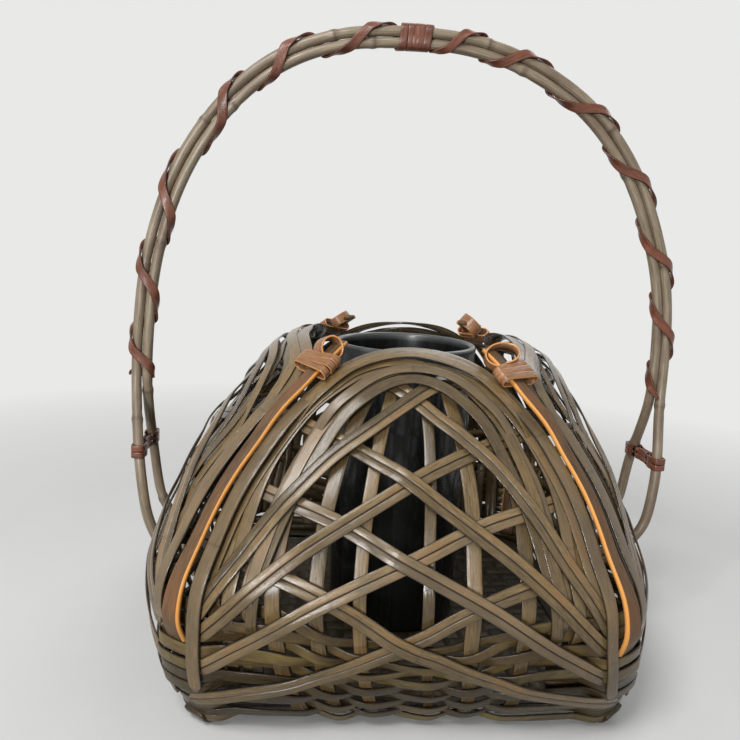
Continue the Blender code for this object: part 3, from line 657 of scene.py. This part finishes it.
# The outer legs of these panels stay over the weft, down to this share of the height
LONG_LEG_PANELS = ("front", "back")
LONG_LEG_SHARE = 0.165
# The other outer legs go on under the weft by this many times the share over which they go in
OUTER_LEG_TUCKS = 1.6
ARCH_WIDTH_WANDER = 0.05
ARCH_SAMPLES = 400


def arch_side(place):
    """Half of an arch strip from foot to crest: 0 is the outer one, 1 the middle and 2 the inner."""
    kinds = list(ARCH_SHARES)
    first = min(int(place), len(kinds) - 2)
    share = place - first
    near, far = (columns_through(ARCH_SHARES[kind], 1, ARCH_SAMPLES) for kind in kinds[first:first + 2])
    angle, up = near * (1 - share) + far * share
    return angle, BODY_HEIGHT * up


def arch_path(panel, left, right):
    """Places of an arch strip, which drifts from one place among the others to another as it goes over."""
    drift = ease(np.linspace(0, 1, 2 * ARCH_SAMPLES - 1))
    sides = []
    for place in (left, right):
        angle, up = arch_side(place)
        sides.append((np.concatenate((-angle, angle[-2::-1])), np.concatenate((up, up[-2::-1]))))
    angle, up = (a * (1 - drift) + b * drift for a, b in zip(*sides))
    return PANELS[panel] + angle, up


def arches():
    for panel in PANELS:
        for kind, strips in ARCH_STRIPS.items():
            piece = Piece(f"split_arch_{panel}_{kind}")
            for left, right, low, high, thickness, width, tuck in strips:
                main = left == right
                degrees, up = arch_path(panel, left, right)
                share = up / BODY_HEIGHT
                level = steps_through(((ARCH_RISE_SHARES[0], low), (ARCH_RISE_SHARES[1], high)), share)
                if left + right == 0 and panel in LONG_LEG_PANELS:
                    keep = share > LONG_LEG_SHARE
                else:
                    reach = tuck - OUTER_LEG_TUCKS * LEG_TUCK_SHARE
                    keep = share > (reach if main and kind == "outer" else LEG_END_SHARE)
                    under = ease((tuck - share) / LEG_TUCK_SHARE)
                    tucked = LEG_TUCKED_LEVELS[kind if main else "inner"]
                    level = level * (1 - under) + tucked * under
                points, normals, up = laid(*on_weave(degrees[keep], up[keep], level[keep]), up[keep])
                narrow = ARCH_LEG_NARROWING * (1 - ease(up / BODY_HEIGHT / ARCH_RISE_SHARES[0]))
                wander = wobble(len(points), ARCH_WIDTH_WANDER, 30, random.randrange(SEEDS))
                piece.strip(points, normals, width * MM * (1 - narrow + wander), thickness * MM, taper=END_TAPER,
                            roll=strip_roll(len(points)))
            piece.make(STRIP, [f"arch_{panel}_{kind}"])


# Corner straps and their ties

STRAP_WIDTH = 9 * MM
STRAP_THICKNESS = 1.8 * MM
STRAP_TOP_SHARE = 1.015
STRAP_TINT = 0.45
STRAP_SAMPLES = 90
# The strap goes in under the weft between these distances up the wall, and ends below them
STRAP_TUCK = (38 * MM, 54 * MM)
STRAP_TUCKED_LEVELS = ((24 * MM, 0.5), (36 * MM, 1.6))
STRAP_END = 11 * MM
# The arches cover the strap's far side towards its top, so less of its width shows there
STRAP_NARROW = (44 * MM, 84 * MM)
STRAP_NARROW_SHARE = 0.38
FOOT_HEIGHTS = (7 * MM, 3 * MM)
FOOT_LEVEL = 2.4
FOOT_WIDTH = 10 * MM
FOOT_INSETS = ((1.5 * MM, 2.2 * MM), (5 * MM, 0.9 * MM), (22 * MM, 0.9 * MM))
FOOT_STEP = 1.2 * MM
# The feet's low tint paints the shade under the corners of the basket
FOOT_TINT = 0.05
TIE_SHARE = 0.94
TIE_BAND = 9 * MM
TIE_HALF_WIDTH = 8 * MM
TIE_CLEARANCE = 1.0 * MM
TIE_LIFT_SHARES = (0.18, 0.07)
TIE_TURNS = 3
TIE_SKEW = 0.10
TIE_SWELL = 0.035
# Tint of the lowest turn, and how much more each turn has
TIE_TINTS = (0.35, 0.2)
STRAP_SECTION = cross_section((-0.500, -0.44, 0), (-0.500, 0.16, 0), (-0.470, 0.34, 0), (-0.425, 0.49, 0),
                              (-0.395, 0.52, 0), (-0.200, 0.54, 0), crest=((0.0, 0.55, 0),))
# Which edge of a strap is the bright cut one: the one towards the front or the back panel
STRAP_CUT_SIDES = {"front_right": 1, "back_right": -1, "back_left": 1, "front_left": -1}


def strap_offset(up):
    plain = ARCH_TOP_LEVEL * LEVEL + STRIP_THICKNESS / 2 + STRIP_GAP + STRAP_THICKNESS / 2
    lift = LEVEL + TIE_CLEARANCE - STRIP_GAP
    start, end = (TIE_SHARE - share for share in TIE_LIFT_SHARES)
    return plain + lift * ease((up / BODY_HEIGHT - start) / (end - start))


def strap_path(corner):
    """The strap on the wall: over everything, and in under the weft at its lower end."""
    up = np.linspace(STRAP_TOP_SHARE * BODY_HEIGHT, STRAP_END, STRAP_SAMPLES)
    points, normals = on_weave(CORNERS[corner], up, 0)
    out = ease((up - STRAP_TUCK[0]) / (STRAP_TUCK[1] - STRAP_TUCK[0]))
    tucked = steps_through(STRAP_TUCKED_LEVELS, up) * LEVEL
    return points + normals * (tucked + (strap_offset(up) - tucked) * out)[:, None], normals, up


def foot_path(corner):
    """The turned-in foot under a corner, on which the basket stands."""
    points, normals = on_weave(CORNERS[corner], FOOT_HEIGHTS, FOOT_LEVEL)
    low = points[-1]
    inwards = unit(np.array((-low[0], -low[1], 0.0)))
    more = [np.array((low[0], low[1], 0.0)) + inwards * inset + (0, 0, height) for inset, height in FOOT_INSETS]
    return np.concatenate((points, more)), np.concatenate((normals, [unit(normals[-1] + DOWN * 2), DOWN, DOWN]))


def straps():
    for corner in CORNERS:
        points, normals, up = laid(*strap_path(corner), passes=2)
        narrow = STRAP_NARROW_SHARE * ease((up - STRAP_NARROW[0]) / (STRAP_NARROW[1] - STRAP_NARROW[0]))
        side = unit(np.cross(unit(np.gradient(points, axis=0)), normals))
        points = points + side * (STRAP_CUT_SIDES[corner] * STRAP_WIDTH * narrow / 2)[:, None]
        piece = Piece(f"thick_strap_{corner}")
        piece.strip(points, normals, STRAP_WIDTH * (1 - narrow), STRAP_THICKNESS * 0.98, STRAP_SECTION,
                    tint=STRAP_TINT, cut_side=STRAP_CUT_SIDES[corner])
        piece.make(STRAP, [f"corner_strap_{corner}"])
        points, normals = laid(*foot_path(corner), step=FOOT_STEP)
        points[:, 2] = np.maximum(points[:, 2], STRAP_THICKNESS / 2)
        piece = Piece(f"turned_foot_{corner}")
        piece.strip(points, normals, FOOT_WIDTH, STRAP_THICKNESS * 0.95, tint=FOOT_TINT)
        piece.make(WEFT, ())


def tie_frame(corner):
    """Middle of a tie, and the strap's directions there: along it, across it and outwards."""
    up = TIE_SHARE * BODY_HEIGHT
    here = np.array((up, up + STRIP_THICKNESS))
    points, normals = on_weave(CORNERS[corner], here, 0)
    points = points + normals * strap_offset(here)[:, None]
    along = unit(points[1] - points[0])
    across = unit(np.cross(along, normals[0]))
    return points[0], along, across, normals[0]


def stadium(straight, depth, count):
    """Offsets (across, out) and facings round a flat loop."""
    a = np.radians(np.linspace(-90, 90, count))
    half = np.stack((straight + np.cos(a) * depth, np.sin(a) * depth, np.cos(a), np.sin(a)), -1)
    return np.concatenate((half, -half))


def ties():
    for corner in CORNERS:
        middle, along, across, outward = tie_frame(corner)
        depth = STRAP_THICKNESS / 2 + TIE_CLEARANCE + STRIP_THICKNESS / 2
        piece = Piece(f"wound_tie_{corner}")
        loop = stadium(TIE_HALF_WIDTH + 0.6 * MM - depth, depth, 12)
        band = TIE_BAND / TIE_TURNS
        for turn in range(TIE_TURNS):
            skew = along * (TIE_SKEW * (turn - 1) * loop[:, :1])
            shift = along * (turn - (TIE_TURNS - 1) / 2) * band * 0.98
            swell = 1 + TIE_SWELL * (turn % 2)
            points = middle + shift + skew + (across * loop[:, :1] + outward * loop[:, 1:2]) * swell
            facing = unit(across * loop[:, 2:3] + outward * loop[:, 3:4])
            piece.strip(points, facing, band * 1.04, STRIP_THICKNESS * 0.8, closed=True,
                        tint=TIE_TINTS[0] + TIE_TINTS[1] * turn)
        piece.make(TIE, [f"corner_tie_{corner}"])
        strap_loop(corner, middle, along, across, outward)


# Loop of the tie's end above each band: turn about the strap in degrees, half width, half height and strip width
# in mm
LOOPS = {"front_right": (14, 7.2, 5.6, 4.4), "back_right": (28, 6.4, 5.2, 7.6), "back_left": (150, 5.6, 4.4, 6.0),
         "front_left": (118, 4.6, 5.0, 6.6)}
LOOP_RUN = (-110, 245)
LOOP_SAMPLES = 44


def strap_loop(corner, middle, along, across, outward):
    """The end of the binding, turned over in a ring above its band."""
    turn, half_width, half_height, width = LOOPS[corner]
    turn = math.radians(turn)
    sideways = across * math.cos(turn) + outward * math.sin(turn)
    a = np.radians(np.linspace(*LOOP_RUN, LOOP_SAMPLES))[:, None]
    centre = middle + along * (TIE_BAND / 2 + (half_height - 0.6) * MM) + outward * 0.6 * MM
    points = centre + along * (np.sin(a) * half_height * MM) + sideways * (np.cos(a) * half_width * MM)
    beside = unit(np.cross(along, sideways))
    points = points + beside * np.linspace(-1.0, 1.0, LOOP_SAMPLES)[:, None] * 0.9 * MM
    facing = unit(along * (np.sin(a) * half_width) + sideways * (np.cos(a) * half_height))
    piece = Piece(f"strap_loop_{corner}")
    piece.strip(points, facing, np.linspace(width, width * 0.8, LOOP_SAMPLES) * MM, 0.75 * MM, tint=0.6)
    piece.make(TIE, ())


# Handle

HANDLE_HALF_SPAN = 125.3 * MM
HANDLE_CROWN = 278 * MM
HANDLE_SPRING_HEIGHT = 122 * MM
HANDLE_SAMPLES = 1200
# Places of the middle line as shares of the half span and of the crown's height
HANDLE_SHARES = (
    (-0.955, 0.200), (-0.982, 0.300), (-0.996, 0.380), (-1.000, 0.445), (-0.993, 0.510), (-0.978, 0.588),
    (-0.943, 0.669), (-0.877, 0.757), (-0.792, 0.828), (-0.675, 0.894), (-0.547, 0.943), (-0.400, 0.976),
    (-0.230, 0.995), (-0.020, 1.000), (0.140, 0.996), (0.290, 0.982), (0.444, 0.954), (0.602, 0.911),
    (0.715, 0.862), (0.813, 0.802), (0.894, 0.728), (0.965, 0.632), (0.993, 0.548), (1.000, 0.450),
    (0.991, 0.360), (0.976, 0.283), (0.956, 0.200),
)
ROD_RADIUS = 2.5 * MM
ROD_CLEARANCE = 0.4 * MM
LEG_SPREAD = 16 * MM
LEG_PARTED_HEIGHT = 75 * MM
LEG_FOOT_SHARES = (0.28, 0.20, 0.12)
ROD_STEP = 1.3 * MM
ROD_SMOOTHING = 44
# Which side each rod lies on, the distance between its nodes and where the first is
RODS = {"front": (1, 62 * MM, 20 * MM), "rear": (-1, 71 * MM, 44 * MM)}
WRAP_SHARES = ((0, 0.0), (0.75, 0.024), (1.75, 0.102), (2.75, 0.181), (3.75, 0.287), (4.75, 0.358), (5.75, 0.438),
               (6.2, 0.473), (11.45, 0.510), (11.75, 0.531), (12.75, 0.590), (13.75, 0.680), (14.75, 0.760),
               (15.75, 0.849), (16.75, 0.924), (17.75, 1.0))
WRAP_END_SHARE = 0.035
WRAP_WIDTH = 4.3 * MM
WRAP_CROWN_WIDTH = 3.35 * MM
WRAP_THICKNESS = 0.8 * MM
WRAP_STEP = 0.9 * MM
WRAP_TAPER = 8 * MM
WRAP_SAMPLES_A_TURN = 40
# The strand leans more where it crosses the front: the share by which it hurries along the handle there
WRAP_FRONT_LEAN = 0.5
WRAP_FRONT_TURN = 0.75
WRAP_PITCH = 37 * MM
# Turns between which the strand binds the crown
WRAP_CROWN = (6.2, 11.45)
LEG_TIE_HEIGHT = 88 * MM
LEG_TIE_SAMPLES = 72
LEG_TIE_WIDTH = 2.9 * MM
LEG_TIE_HALF_PITCH = 1.55 * MM
CANE_RADIUS = 2.38 * MM
BESIDE = CANE_RADIUS + 0.04 * MM


def handle_line(step):
    """Middle line of the handle from the left leg to the right, and its outward directions."""
    x, z = columns_through(HANDLE_SHARES, len(HANDLE_SHARES) - 1, HANDLE_SAMPLES)
    line, = evenly(np.stack((HANDLE_HALF_SPAN * x, 0 * x, HANDLE_CROWN * z), -1), step)
    along = np.gradient(line, axis=0)
    return line, unit(np.stack((-along[:, 2], 0 * along[:, 0], along[:, 0]), -1))


def rod_points(line, outward, which):
    parted = ease((HANDLE_SPRING_HEIGHT - line[:, 2]) / (HANDLE_SPRING_HEIGHT - LEG_PARTED_HEIGHT))
    points = line + outward * (BESIDE * which * (1 - parted))[:, None]
    points[:, 1] -= LEG_SPREAD * which * parted
    return points


def rod_foot(side, which):
    stand_off = 2 * LEVEL + STRIP_THICKNESS / 2 + ROD_CLEARANCE + ROD_RADIUS
    points = []
    for share in LEG_FOOT_SHARES:
        up = share * BODY_HEIGHT
        reach = wall_point(math.radians(90 * side), up)[0]
        angle = math.atan2(reach, LEG_SPREAD * which)
        points.append(wall_point(angle, up) + wall_normal(angle, up) * stand_off)
    return np.array(points)


def rods():
    line, outward = handle_line(6 * MM)
    for name, (which, spacing, where) in RODS.items():
        points = np.concatenate((rod_foot(-1, which)[::-1], rod_points(line, outward, which), rod_foot(1, which)))
        points, = evenly(points, ROD_STEP)
        points = rounded(points, points, ROD_SMOOTHING)[0]
        at = lengths_along(points)
        radius = CANE_RADIUS * (1 + wobble(len(points), 0.03, 24, 300 + which))
        node = np.zeros(len(points))
        while where < at[-1]:
            off = (at - where) / MM
            radius += ROD_RADIUS * (0.13 * np.exp(-(off / 1.5) ** 2) - 0.05 * np.exp(-((off - 3.2) / 1.6) ** 2))
            node += np.exp(-((off - 0.6) / 0.8) ** 2)
            where += spacing * (1 + 0.18 * math.sin(where * 90))
        piece = Piece(f"cane_{name}")
        piece.round_rod(points, radius, np.clip(node, 0, 1))
        piece.make(CANE, [f"handle_rod_{name}"])


def wrap_path():
    """Path and facing of the flat strand round both rods, and its width."""
    line, outward = handle_line(1 * MM)
    keep = line[:, 2] > HANDLE_SPRING_HEIGHT * (1 - WRAP_END_SHARE)
    line, outward = line[keep], outward[keep]
    lengths = lengths_along(line)
    whole = lengths[-1]
    turns = WRAP_SHARES[-1][0]
    turn = np.linspace(0, turns, int(turns * WRAP_SAMPLES_A_TURN))
    first, last = WRAP_CROWN
    close = ease((np.abs(turn - (first + last) / 2) - (last - first) / 2) / 0.6)
    lean = np.sin(2 * math.pi * (turn - WRAP_FRONT_TURN)) * WRAP_FRONT_LEAN / (2 * math.pi)
    at = np.clip(smooth_through(WRAP_SHARES, turn) * whole + close * WRAP_PITCH * lean, 0, whole)
    middle, out = picked(at, lengths, line), unit(picked(at, lengths, outward))
    a = 2 * math.pi * turn
    depth = ROD_RADIUS + 0.2 * MM + WRAP_THICKNESS / 2
    push = np.clip(2 * np.cos(a), -1, 1)
    rear = np.array((0.0, 1.0, 0.0))
    points = middle + out * (BESIDE * push + depth * np.cos(a))[:, None] + rear * (depth * np.sin(a))[:, None]
    facing = unit(out * np.cos(a)[:, None] + rear * np.sin(a)[:, None])
    width = WRAP_CROWN_WIDTH + (WRAP_WIDTH - WRAP_CROWN_WIDTH) * close
    return points, facing, width


def wrap():
    points, facing, width = wrap_path()
    points, facing, width = evenly(points, WRAP_STEP, facing, width)
    piece = Piece("wound_strand")
    piece.strip(points, unit(facing), width, WRAP_THICKNESS, taper=WRAP_TAPER)
    piece.make(WRAP, ["handle_wrap"])


def leg_ties():
    """A strand drawn tight round both rods of a leg, and pinched between them."""
    line, outward = handle_line(2 * MM)
    for name, side in (("left", -1), ("right", 1)):
        leg = line[(line[:, 0] * side > 0) & (line[:, 2] < HANDLE_SPRING_HEIGHT)]
        leg = leg[np.argsort(leg[:, 2])]
        x = np.interp(LEG_TIE_HEIGHT, leg[:, 2], leg[:, 0])
        centre = np.array([[x, 0.0, LEG_TIE_HEIGHT]])
        out = np.array([[float(side), 0.0, 0.0]])
        front, rear = rod_points(centre, out, 1)[0], rod_points(centre, out, -1)[0]
        across = unit(front - rear)
        over = np.cross(across, UP)
        half = np.linalg.norm(front - rear) / 2
        reach = CANE_RADIUS + 0.75 * MM
        a = np.linspace(0, 2 * math.pi, LEG_TIE_SAMPLES, endpoint=False)
        # A pinched oval: its ends are half circles round the rods
        along = np.clip(np.cos(a) * 1.35, -1, 1) * half + np.cos(a) * reach
        pinch = 0.30 + 0.70 * ease((np.abs(along) - half * 0.15) / (half * 0.75))
        beside = np.sign(np.sin(a)) * np.abs(np.sin(a)) ** 0.55 * reach * pinch
        piece = Piece(f"leg_binding_{name}")
        for height in (-LEG_TIE_HALF_PITCH, LEG_TIE_HALF_PITCH):
            middle = (front + rear) / 2 + np.array((0, 0, height))
            points = middle + across * along[:, None] + over * beside[:, None]
            facing = unit(np.cross(ahead_of(points), UP))
            facing *= np.sign(np.sum(facing * (points - middle), -1, keepdims=True) + 1e-9)
            piece.strip(points, facing, LEG_TIE_WIDTH, WRAP_THICKNESS, closed=True)
        piece.make(WRAP, [f"handle_tie_{name}"])


# Base mat

MAT_HALF = 80 * MM
MAT_MIDDLE = 6.7 * MM
MAT_STRIP = 7.2 * MM
MAT_COUNT = 21
MAT_THICKNESS = 0.42 * MM
MAT_LIFT = 0.26 * MM
MAT_SAMPLES_A_STRIP = 8
# Strips this close to the mat's edges are shortened, as its corners are cut
MAT_CORNER = 20 * MM
MAT_CORNER_CUT = 0.7
MAT_EDGE_UP = 5 * MM
MAT_EDGE_INSET = 5.4 * MM
MAT_EDGE_HEIGHT = 8.0 * MM
MAT_EDGE_WIDTH = 6.4 * MM
MAT_EDGE_THICKNESS = 0.8 * MM
MAT_EDGE_SAMPLES = 240


def base_mat():
    """A close plaited mat of flat strips, with a strip laid round it along the foot of the wall."""
    piece = Piece("plaited_mat")
    turn = np.linspace(0, 2 * math.pi, MAT_EDGE_SAMPLES, endpoint=False)
    edge = wall_point(turn, np.full(len(turn), MAT_EDGE_UP))
    edge = edge - unit(edge * (1, 1, 0)) * MAT_EDGE_INSET
    edge[:, 2] = MAT_EDGE_HEIGHT
    piece.strip(edge, np.broadcast_to(UP, edge.shape), MAT_EDGE_WIDTH, MAT_EDGE_THICKNESS, closed=True)
    pitch = 2 * MAT_HALF / MAT_COUNT
    run = np.linspace(-MAT_HALF, MAT_HALF, MAT_COUNT * MAT_SAMPLES_A_STRIP + 1)
    for turned in (0, 1):
        for k in range(MAT_COUNT):
            off = -MAT_HALF + pitch * (k + 0.5)
            inset = max(0, abs(off) - (MAT_HALF - MAT_CORNER)) * MAT_CORNER_CUT
            reach = run[np.abs(run) <= MAT_HALF - inset]
            wave = np.cos((reach + MAT_HALF) / pitch * math.pi + math.pi * (k + 0.5))
            z = MAT_MIDDLE + MAT_LIFT * np.clip(wave * 1.6, -1, 1) * (1 if turned else -1)
            x, y = (reach, off + 0 * reach) if turned else (off + 0 * reach, reach)
            points = np.stack((x, y, z), -1)
            piece.strip(points, np.broadcast_to(DOWN, points.shape), MAT_STRIP, MAT_THICKNESS)
    piece.make(MAT, ["base_mat"])


# Water tube

TUBE_X = -2 * MM
TUBE_RIM_RADIUS = 33.8 * MM
TUBE_FOOT_RADIUS = 31.0 * MM
TUBE_WALL = 3.2 * MM
TUBE_FLOOR = 4 * MM
TUBE_BOTTOM = 7.81 * MM
TUBE_TOP = 141.5 * MM
TUBE_SIDES = 96
TUBE_FLOOR_BEND = 3 * MM
TUBE_FOOT_BEND = 1.4 * MM
# The outside stands this far in from the CAD tube, apart from its swellings at these heights
TUBE_PLAY = 0.3 * MM
TUBE_NODES = (52 * MM, 104 * MM)
TUBE_SWELL = 0.35 * MM
TUBE_SWELL_HALF = 1.6 * MM
TUBE_TINT = 0.5


def profile_bend(radius, height, size, start, end, count, worn=0.0):
    """Part of a circle of the tube's profile, whose rows are radius, height and wear."""
    return [(radius + size * math.cos(a), height + size * math.sin(a), worn) for a in np.linspace(start, end, count)]


def water_tube():
    """The lacquered tube, turned from its profile, with a rounded rim and a faint swelling at two nodes."""
    inner_foot, inner_rim = TUBE_FOOT_RADIUS - TUBE_WALL, TUBE_RIM_RADIUS - TUBE_WALL
    rim = TUBE_WALL / 2
    floor = TUBE_BOTTOM + TUBE_FLOOR
    profile = profile_bend(inner_foot - TUBE_FLOOR_BEND, floor + TUBE_FLOOR_BEND, TUBE_FLOOR_BEND, -math.pi / 2, 0, 6)
    for t in np.linspace(0.08, 0.97, 24):
        z = floor + (TUBE_TOP - TUBE_BOTTOM - TUBE_FLOOR) * t
        profile.append((inner_foot + (inner_rim - inner_foot) * t, z, 0.0))
    profile += profile_bend(TUBE_RIM_RADIUS - rim, TUBE_TOP - rim, rim, math.pi, 0, 11, 1.0)
    for t in np.linspace(0.97, 0.02, 40):
        z = TUBE_BOTTOM + (TUBE_TOP - TUBE_BOTTOM) * t
        swell = sum(TUBE_SWELL * math.exp(-((z - at) / TUBE_SWELL_HALF) ** 2) for at in TUBE_NODES)
        radius = TUBE_FOOT_RADIUS + (TUBE_RIM_RADIUS - TUBE_FOOT_RADIUS) * t
        profile.append((radius - TUBE_PLAY + swell, z, 0.6 if t > 0.93 else 0.0))
    profile += profile_bend(TUBE_FOOT_RADIUS - TUBE_PLAY - TUBE_FOOT_BEND, TUBE_BOTTOM + TUBE_FOOT_BEND,
                            TUBE_FOOT_BEND, 0, -math.pi / 2, 6)
    radius, z, worn = np.array(profile).T[..., None]
    around = np.linspace(0, 2 * math.pi, TUBE_SIDES, endpoint=False)
    ring = np.stack(np.broadcast_arrays(TUBE_X + radius * np.cos(around), radius * np.sin(around), z), -1)
    piece = Piece("lacquered_tube")
    along = lengths_along(np.hstack((radius, z)))[:, None]
    piece.grid(ring[:, ::-1], around * TUBE_RIM_RADIUS, along, TUBE_TINT, worn, 0.0)
    piece.make(LACQUER, ["water_tube"], "water_tube")


stakes()
wefts()
arcs()
arches()
straps()
ties()
rods()
wrap()
leg_ties()
base_mat()
water_tube()

# Floor, light and camera

FLOOR_REACH = 6.0
FLOOR_FADE = (0.26, 0.60)
BACKDROP = (0.815, 0.815, 0.805)
# What the floor throws back at the basket's under side, in place of its own colour
FLOOR_BOUNCE = (0.17, 0.17, 0.17)
WORLD_LIGHT, WORLD_STRENGTH = (0.80, 0.81, 0.82), 0.30
# Place, size and power of each lamp
LAMPS = {"key": ((-0.45, -0.65, 1.05), 0.40, 9.4), "window": ((-0.45, -1.15, 0.32), 0.21, 8.5),
         "back": ((0.5, 0.8, 1.0), 0.8, 4.5)}
LAMPS_LOOK_AT = Vector((0, 0, 0.09))


def seen_rays(n):
    """One for camera, glossy and transmission rays, which see the backdrop's own colour, and zero for others."""
    rays = n.node("ShaderNodeLightPath").outputs
    seen = n.math("MAXIMUM", rays["Is Camera Ray"], rays["Is Glossy Ray"])
    return n.math("MAXIMUM", seen, rays["Is Transmission Ray"])


def floor_paper():
    """Pale paper that runs into the backdrop's colour away from the basket."""
    n = Nodes(bpy.data.materials.new("floor_paper"))
    place = n.node("ShaderNodeNewGeometry").outputs["Position"]
    seen = seen_rays(n)
    pale = n.mix(n.noise(place, 40.0, 3.0, 0.55), (0.70, 0.70, 0.69), (0.73, 0.73, 0.72))
    n.set(Base_Color=n.mix(seen, FLOOR_BOUNCE, pale), Roughness=0.9, Specular_IOR_Level=0.0)
    distance = n.node("ShaderNodeVectorMath", {0: place}, operation="LENGTH").outputs["Value"]
    fade = n.times(n.ramp(distance, *FLOOR_FADE), seen)
    far = n.node("ShaderNodeEmission", {"Color": BACKDROP, "Strength": 1.0}).outputs["Emission"]
    n.blend("Material Output", fade, n.shader.outputs["BSDF"], far)
    return n.owner


def studio():
    scene = bpy.context.scene
    scene.view_settings.view_transform = "Standard"
    floor_mesh = bpy.data.meshes.new("floor")
    reach = FLOOR_REACH
    floor_mesh.from_pydata([(-reach, -reach, 0), (reach, -reach, 0), (reach, reach, 0), (-reach, reach, 0)], [],
                           [(0, 1, 2, 3)])
    floor = bpy.data.objects.new("floor", floor_mesh)
    scene.collection.objects.link(floor)
    floor_mesh.materials.append(floor_paper())
    scene.world = bpy.data.worlds.new("studio")
    n = Nodes(scene.world)
    light = n.tree.nodes["Background"]
    n.put(light.inputs["Color"], WORLD_LIGHT)
    n.put(light.inputs["Strength"], WORLD_STRENGTH)
    backdrop = n.node("ShaderNodeBackground", {"Color": BACKDROP, "Strength": 1.0})
    n.blend("World Output", seen_rays(n), light.outputs[0], backdrop.outputs[0])
    for name, (place, size, power) in LAMPS.items():
        lamp = bpy.data.lights.new(name, "AREA")
        lamp.size = size
        lamp.energy = power
        obj = bpy.data.objects.new(name, lamp)
        obj.location = place
        obj.rotation_euler = (LAMPS_LOOK_AT - Vector(place)).to_track_quat("-Z", "Y").to_euler()
        scene.collection.objects.link(obj)


CAMERA_PLACE = (-49.01 * MM, -349.03 * MM, 190.43 * MM)
# Looking this far down and to the right of straight ahead, with the right side lifted by the roll
CAMERA_PITCH, CAMERA_YAW, CAMERA_ROLL = math.radians(10.275), math.radians(5.06), math.radians(2.94)
CAMERA_FOCAL_PIXELS, FRAME_PIXELS, SENSOR_MM = 742.0, 740.0, 36.0


def camera():
    data = bpy.data.cameras.new("camera")
    data.sensor_fit = "HORIZONTAL"
    data.sensor_width = SENSOR_MM
    data.lens = CAMERA_FOCAL_PIXELS / FRAME_PIXELS * SENSOR_MM
    data.clip_start = 0.01
    place = Matrix.Translation(CAMERA_PLACE)
    for angle, axis in ((-CAMERA_YAW, "Z"), (math.pi / 2 - CAMERA_PITCH, "X"), (CAMERA_ROLL, "Z")):
        place = place @ Matrix.Rotation(angle, 4, axis)
    obj = bpy.data.objects.new("camera", data)
    obj.matrix_world = place
    bpy.context.scene.collection.objects.link(obj)
    bpy.context.scene.camera = obj


studio()
camera()
